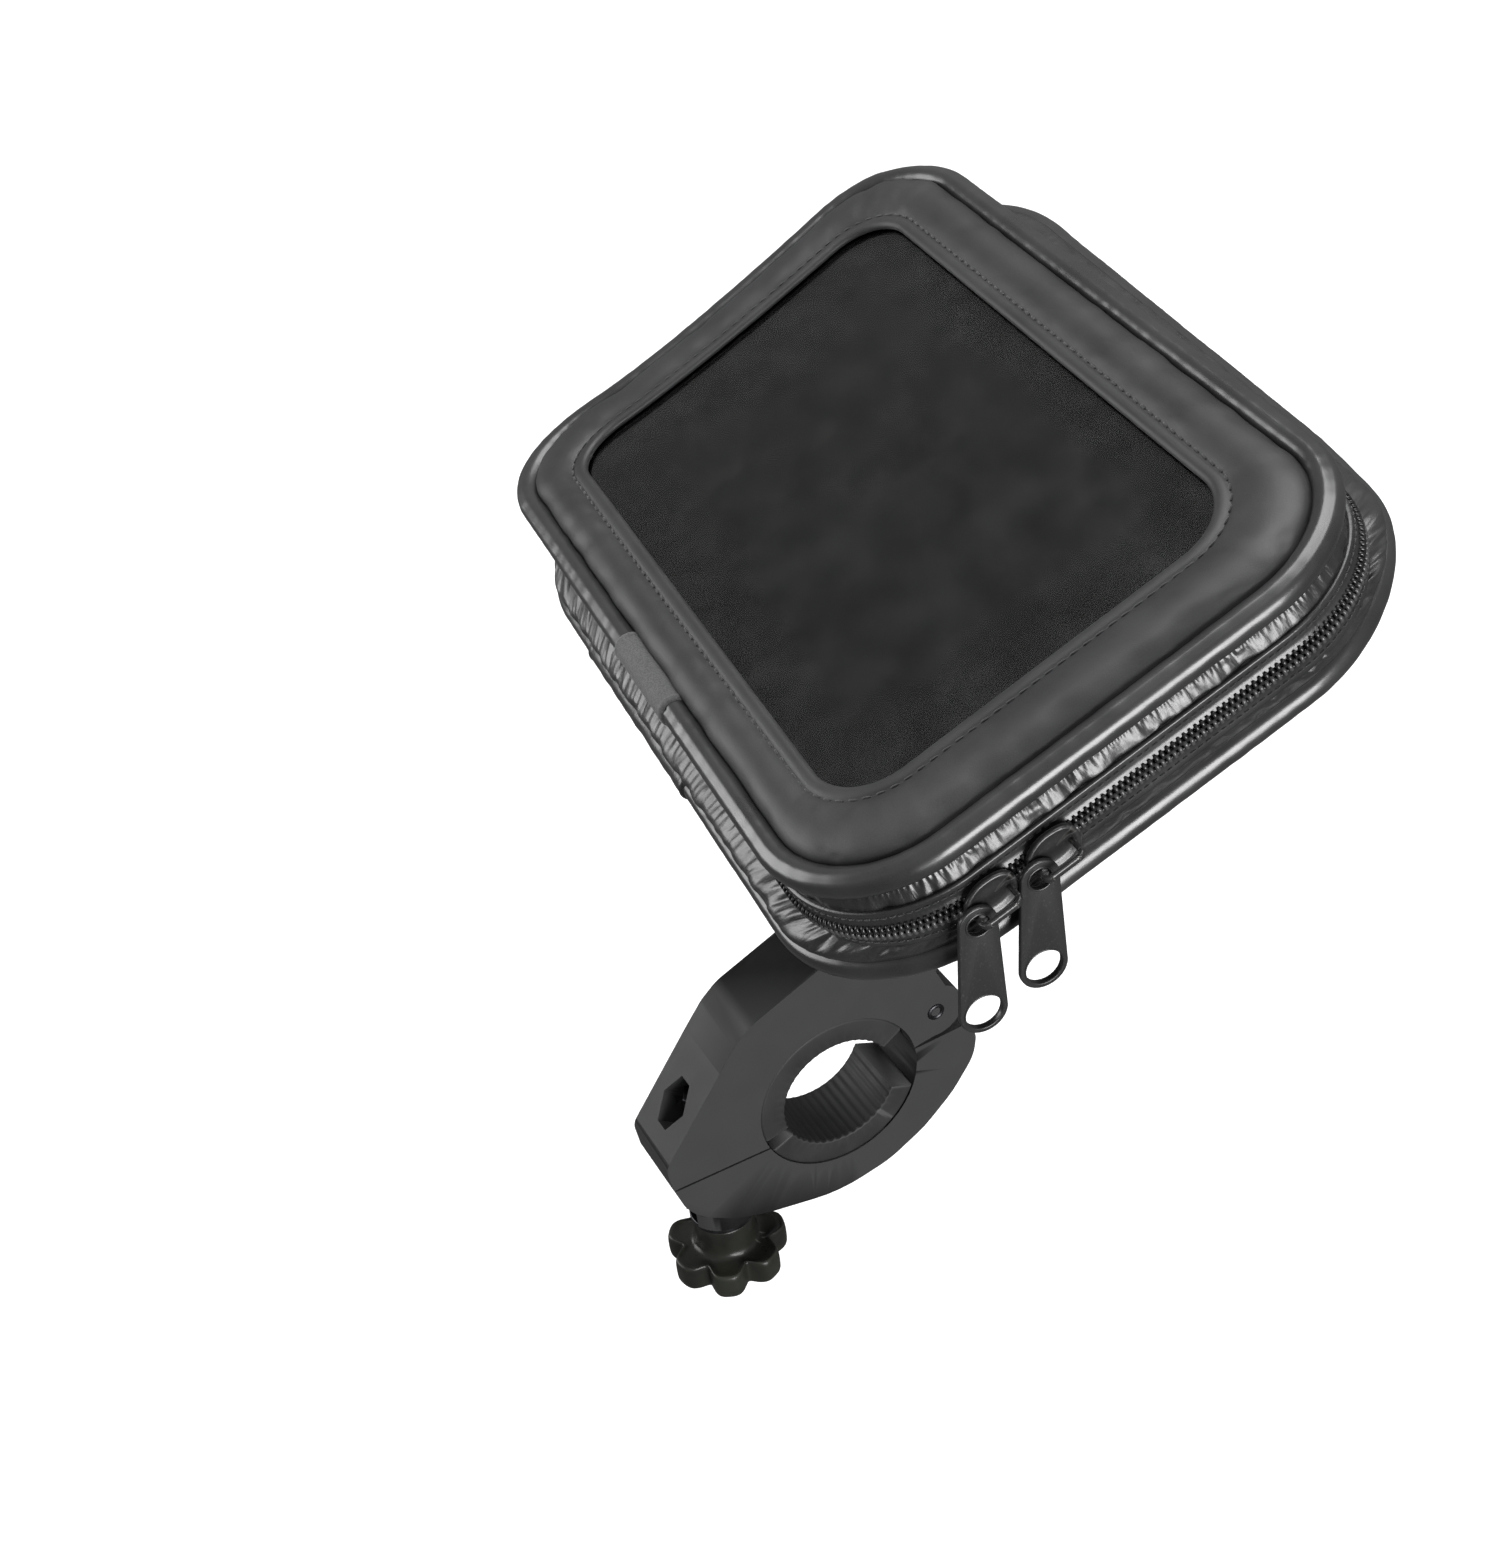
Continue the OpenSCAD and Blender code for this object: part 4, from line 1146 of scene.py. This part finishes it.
def star_knob():
    """Star knob: seven rounded lobes with dished tops inside a raised rim, on a long hub.

    A radius of the profile up to 1 is a fraction of the lobes' outline.
    """
    lobes, phase = 7, math.pi / 7
    peak, valley = 13.0, 9.9
    hub_top, disc_top, disc_low = -26.9, -34.1, -40.9
    hub = [(2.6, 0), (5.9, 0), (6.4, -0.4), (6.5, -1.2)]
    top = [(6.55, 1.6), (6.7, 0.7), (7.2, -0.25), (0.66, -0.55), (0.78, -0.6), (0.87, -0.35), (0.92, -0.05),
           (0.96, -0.12), (0.985, -0.6), (1.0, -1.6)]
    low = [(1.0, 2.0), (0.985, 0.9), (0.94, 0.25), (0.87, 0.05), (0.75, 0.15), (0.6, 0.35), (3.4, 0.5),
           (2.9, 1.4), (2.6, 2.2)]
    parts = ((hub_top, hub), (disc_top, top), (disc_low, low))
    profile = [(r, base + h) for base, part in parts for r, h in part]

    def lobed(a, r, row):
        wave = 0.5 + 0.5 * math.cos(lobes * (a - phase))
        outer = valley + (peak - valley) * math.sin(math.pi / 2 * wave ** 0.8)
        if r > 1.5:
            return r
        return 6.6 + (outer - 6.6) * max(0, (r - 0.5) / 0.5) if r < 0.9 else outer * r

    o = lathe("knob_star", profile, CLAMP @ Matrix.Translation((0, SCREW_Y, 0)), 168, lobed)
    finish_piece(subdivide(o), "knob", "knob_plastic", KNOB_LOOK, "star_knob")


def locking_ring():
    """Locking ring with soft finger flutes round its lower part."""
    flutes = 18
    profile = round_profile([(13.1, 9), (15.5, 9), (15.5, 7.2), (15.5, -5), (14.6, -7), (12.0, -6.8),
                             (11.4, -5.0), (13.1, -3.1)], 0.8)

    def fluted(a, r, row):
        h = profile[row][1]
        depth = 0.75 * max(0.0, min(1.0, (7.0 - h) / 1.5)) if r > 13.6 else 0
        return r - depth * max(0.0, math.cos(flutes * a)) ** 1.5

    o = lathe("ring_locking", profile, ON_BALL, 216, fluted)
    finish_piece(o, "locking_ring", "knob_plastic", KNOB_LOOK, "locking_ring")


lid_frame()
stitch_row("stitches_window", window_loop(STITCH_IN), 14.12, 2.5, 1.75, 0.26, "lid", 0.12)
TAPE_SEAM = case_loop(ZIP_IN - TAPE_OUT - 0.12)
stitch_row("stitches_zip_lid", TAPE_SEAM, 3.2, 1.5, 1.1, 0.17, "lid", 0.0, on_spine)
stitch_row("stitches_zip_rear", TAPE_SEAM, -3.2, 1.5, 1.1, 0.17, "case_back", 0.0, on_spine)
flat_ring("lining_lid", window_loop(0.4), case_loop(SEAM_IN + 1.4), 9.9, 10.95, "lid_lining")
flat_ring("binding_window", window_loop(0.1), window_loop(3.6), 11.1, 12.34, "window_binding")
window_film()
gusset_lid()
gusset_back()
back_panel()
foam_pad()
piping("piping_front", case_loop(PIPING_R), FRONT_N, 61, "lid", "front_piping")
piping("piping_rear", back_loop(PIPING_R), BACK_N, 65, "case_back", "back_piping")
sleeve("sleeve_front", -6, 19, -CASE_W / 2 + PIPING_R, FRONT_N, SLEEVE, 0.02, 81, "lid",
       "front_piping_sleeve")
sleeve("sleeve_rear", -42, 12, BACK_SHIFT - BACK_W / 2 + PIPING_R, BACK_N, GUSSET, 0.16, 82, "case_back",
       "back_piping_sleeve")
zip_tape("tape_lid", 1, "lid", "zip_tape_lid")
zip_tape("tape_rear", -1, "case_back", "zip_tape_back")
zip_coil("coil_lid", 1, "lid", "zip_coil_lid")
zip_coil("coil_rear", -1, "case_back", "zip_coil_back")
spine_strip()
for number, y in ((1, -30.0), (2, -18.0)):
    slider(number, y, "slider_%d" % number)
    pull(number, y, "pull_%d" % number)
upper_jaw()
lower_jaw()
hinge_pin()
liner("liner_upper", 32, 195, "clamp", "upper_liner")
liner("liner_lower", 206, 337, "lower_jaw", "lower_liner")
star_knob()
locking_ring()

# ======================= CAD parts that keep their shape =======================

for node, look, width in (
        ("clamp_nut", DARK_STEEL, 0.3), ("thrust_washer", DARK_STEEL, 0.25), ("knob_screw", STEEL, 0.2),
        ("ball_stud", STEEL, 0.3), ("friction_cup", CUP_LOOK, 0.3), ("socket_body", CLAMP_LOOK, 0.5),
        ("pivot_washer", STEEL, 0.15), ("pivot_screw", STEEL, 0.25), ("mount_plate", CLAMP_LOOK, 0.7),
        ("plate_screws", STEEL, 0.2), ("stiffener_plate", BOARD, 0.3), ("hook_strips", LINING, 0.3)):
    part = frame["nodes"][node]
    part.data.materials.clear()
    part.data.materials.append(look)
    edges(part, width)

# ======================= floor, light, camera =======================

def floor():
    """Pale floor that shines a little of its own light, so that it shows plain behind the mount."""
    low, side = cad_box[0].z - 0.08, 3.0
    mesh = bpy.data.meshes.new("floor")
    corners = [(-side, -side, low), (side, -side, low), (side, side, low), (-side, side, low)]
    mesh.from_pydata(corners, [], [(0, 1, 2, 3)])
    o = add_object("floor", mesh)
    m = Nodes("pale_floor")
    m.set(Base_Color=m.mix(m.noise(120, 2), (0.5, 0.5, 0.5), (0.54, 0.54, 0.54)), Roughness=0.9,
          Specular_IOR_Level=0.1, Emission_Color=(1, 1, 1, 1), Emission_Strength=0.6)
    mesh.materials.append(m.material)
    o.visible_diffuse = o.visible_glossy = False


def area_light(name, place_at, size, power, target=(0.02, 0.05, 0.08)):
    data = bpy.data.lights.new(name, "AREA")
    data.shape, data.size, data.energy = "SQUARE", size, power
    o = add_object(name, data)
    o.location = place_at
    o.rotation_mode = "QUATERNION"
    o.rotation_quaternion = (Vector(target) - Vector(place_at)).to_track_quat("-Z", "Y")


floor()
area_light("key", (-0.8, -0.95, 0.38), 0.8, 12)
area_light("side", (0.95, 0.0, 0.16), 0.5, 15)
area_light("top", (-0.2, 0.3, 1.3), 0.9, 18)


def sky():
    """Pale overhead, dark near the horizon and below it."""
    world = bpy.data.worlds.new("studio")
    world.use_nodes = True
    tree = world.node_tree
    where, parts, height = (tree.nodes.new("ShaderNode" + kind)
                            for kind in ("TexCoord", "SeparateXYZ", "MapRange"))
    tree.links.new(where.outputs["Generated"], parts.inputs[0])
    tree.links.new(parts.outputs["Z"], height.inputs["Value"])
    for key, value in (("From Min", -0.2), ("From Max", 0.9), ("To Min", 0.14), ("To Max", 0.55)):
        height.inputs[key].default_value = value
    tree.links.new(height.outputs["Result"], tree.nodes["Background"].inputs["Strength"])
    tree.nodes["Background"].inputs["Color"].default_value = (1, 1, 1, 1)
    bpy.context.scene.world = world


sky()
bpy.context.scene.view_settings.view_transform = "Standard"

camera_data = bpy.data.cameras.new("camera")
camera_data.lens, camera_data.sensor_width = 54.92, 36
camera_data.clip_start = 0.01
camera = add_object("camera", camera_data)
camera.location = (0.3325, -0.1466, 0.3470)
forward = Vector((-0.74172, 0.31086, -0.59432))
right = Vector((0.45623, 0.88336, -0.10734))
upward = right.cross(forward)
camera.rotation_mode = "QUATERNION"
camera.rotation_quaternion = Matrix((right, upward, -forward)).transposed().to_quaternion()
bpy.context.scene.camera = camera
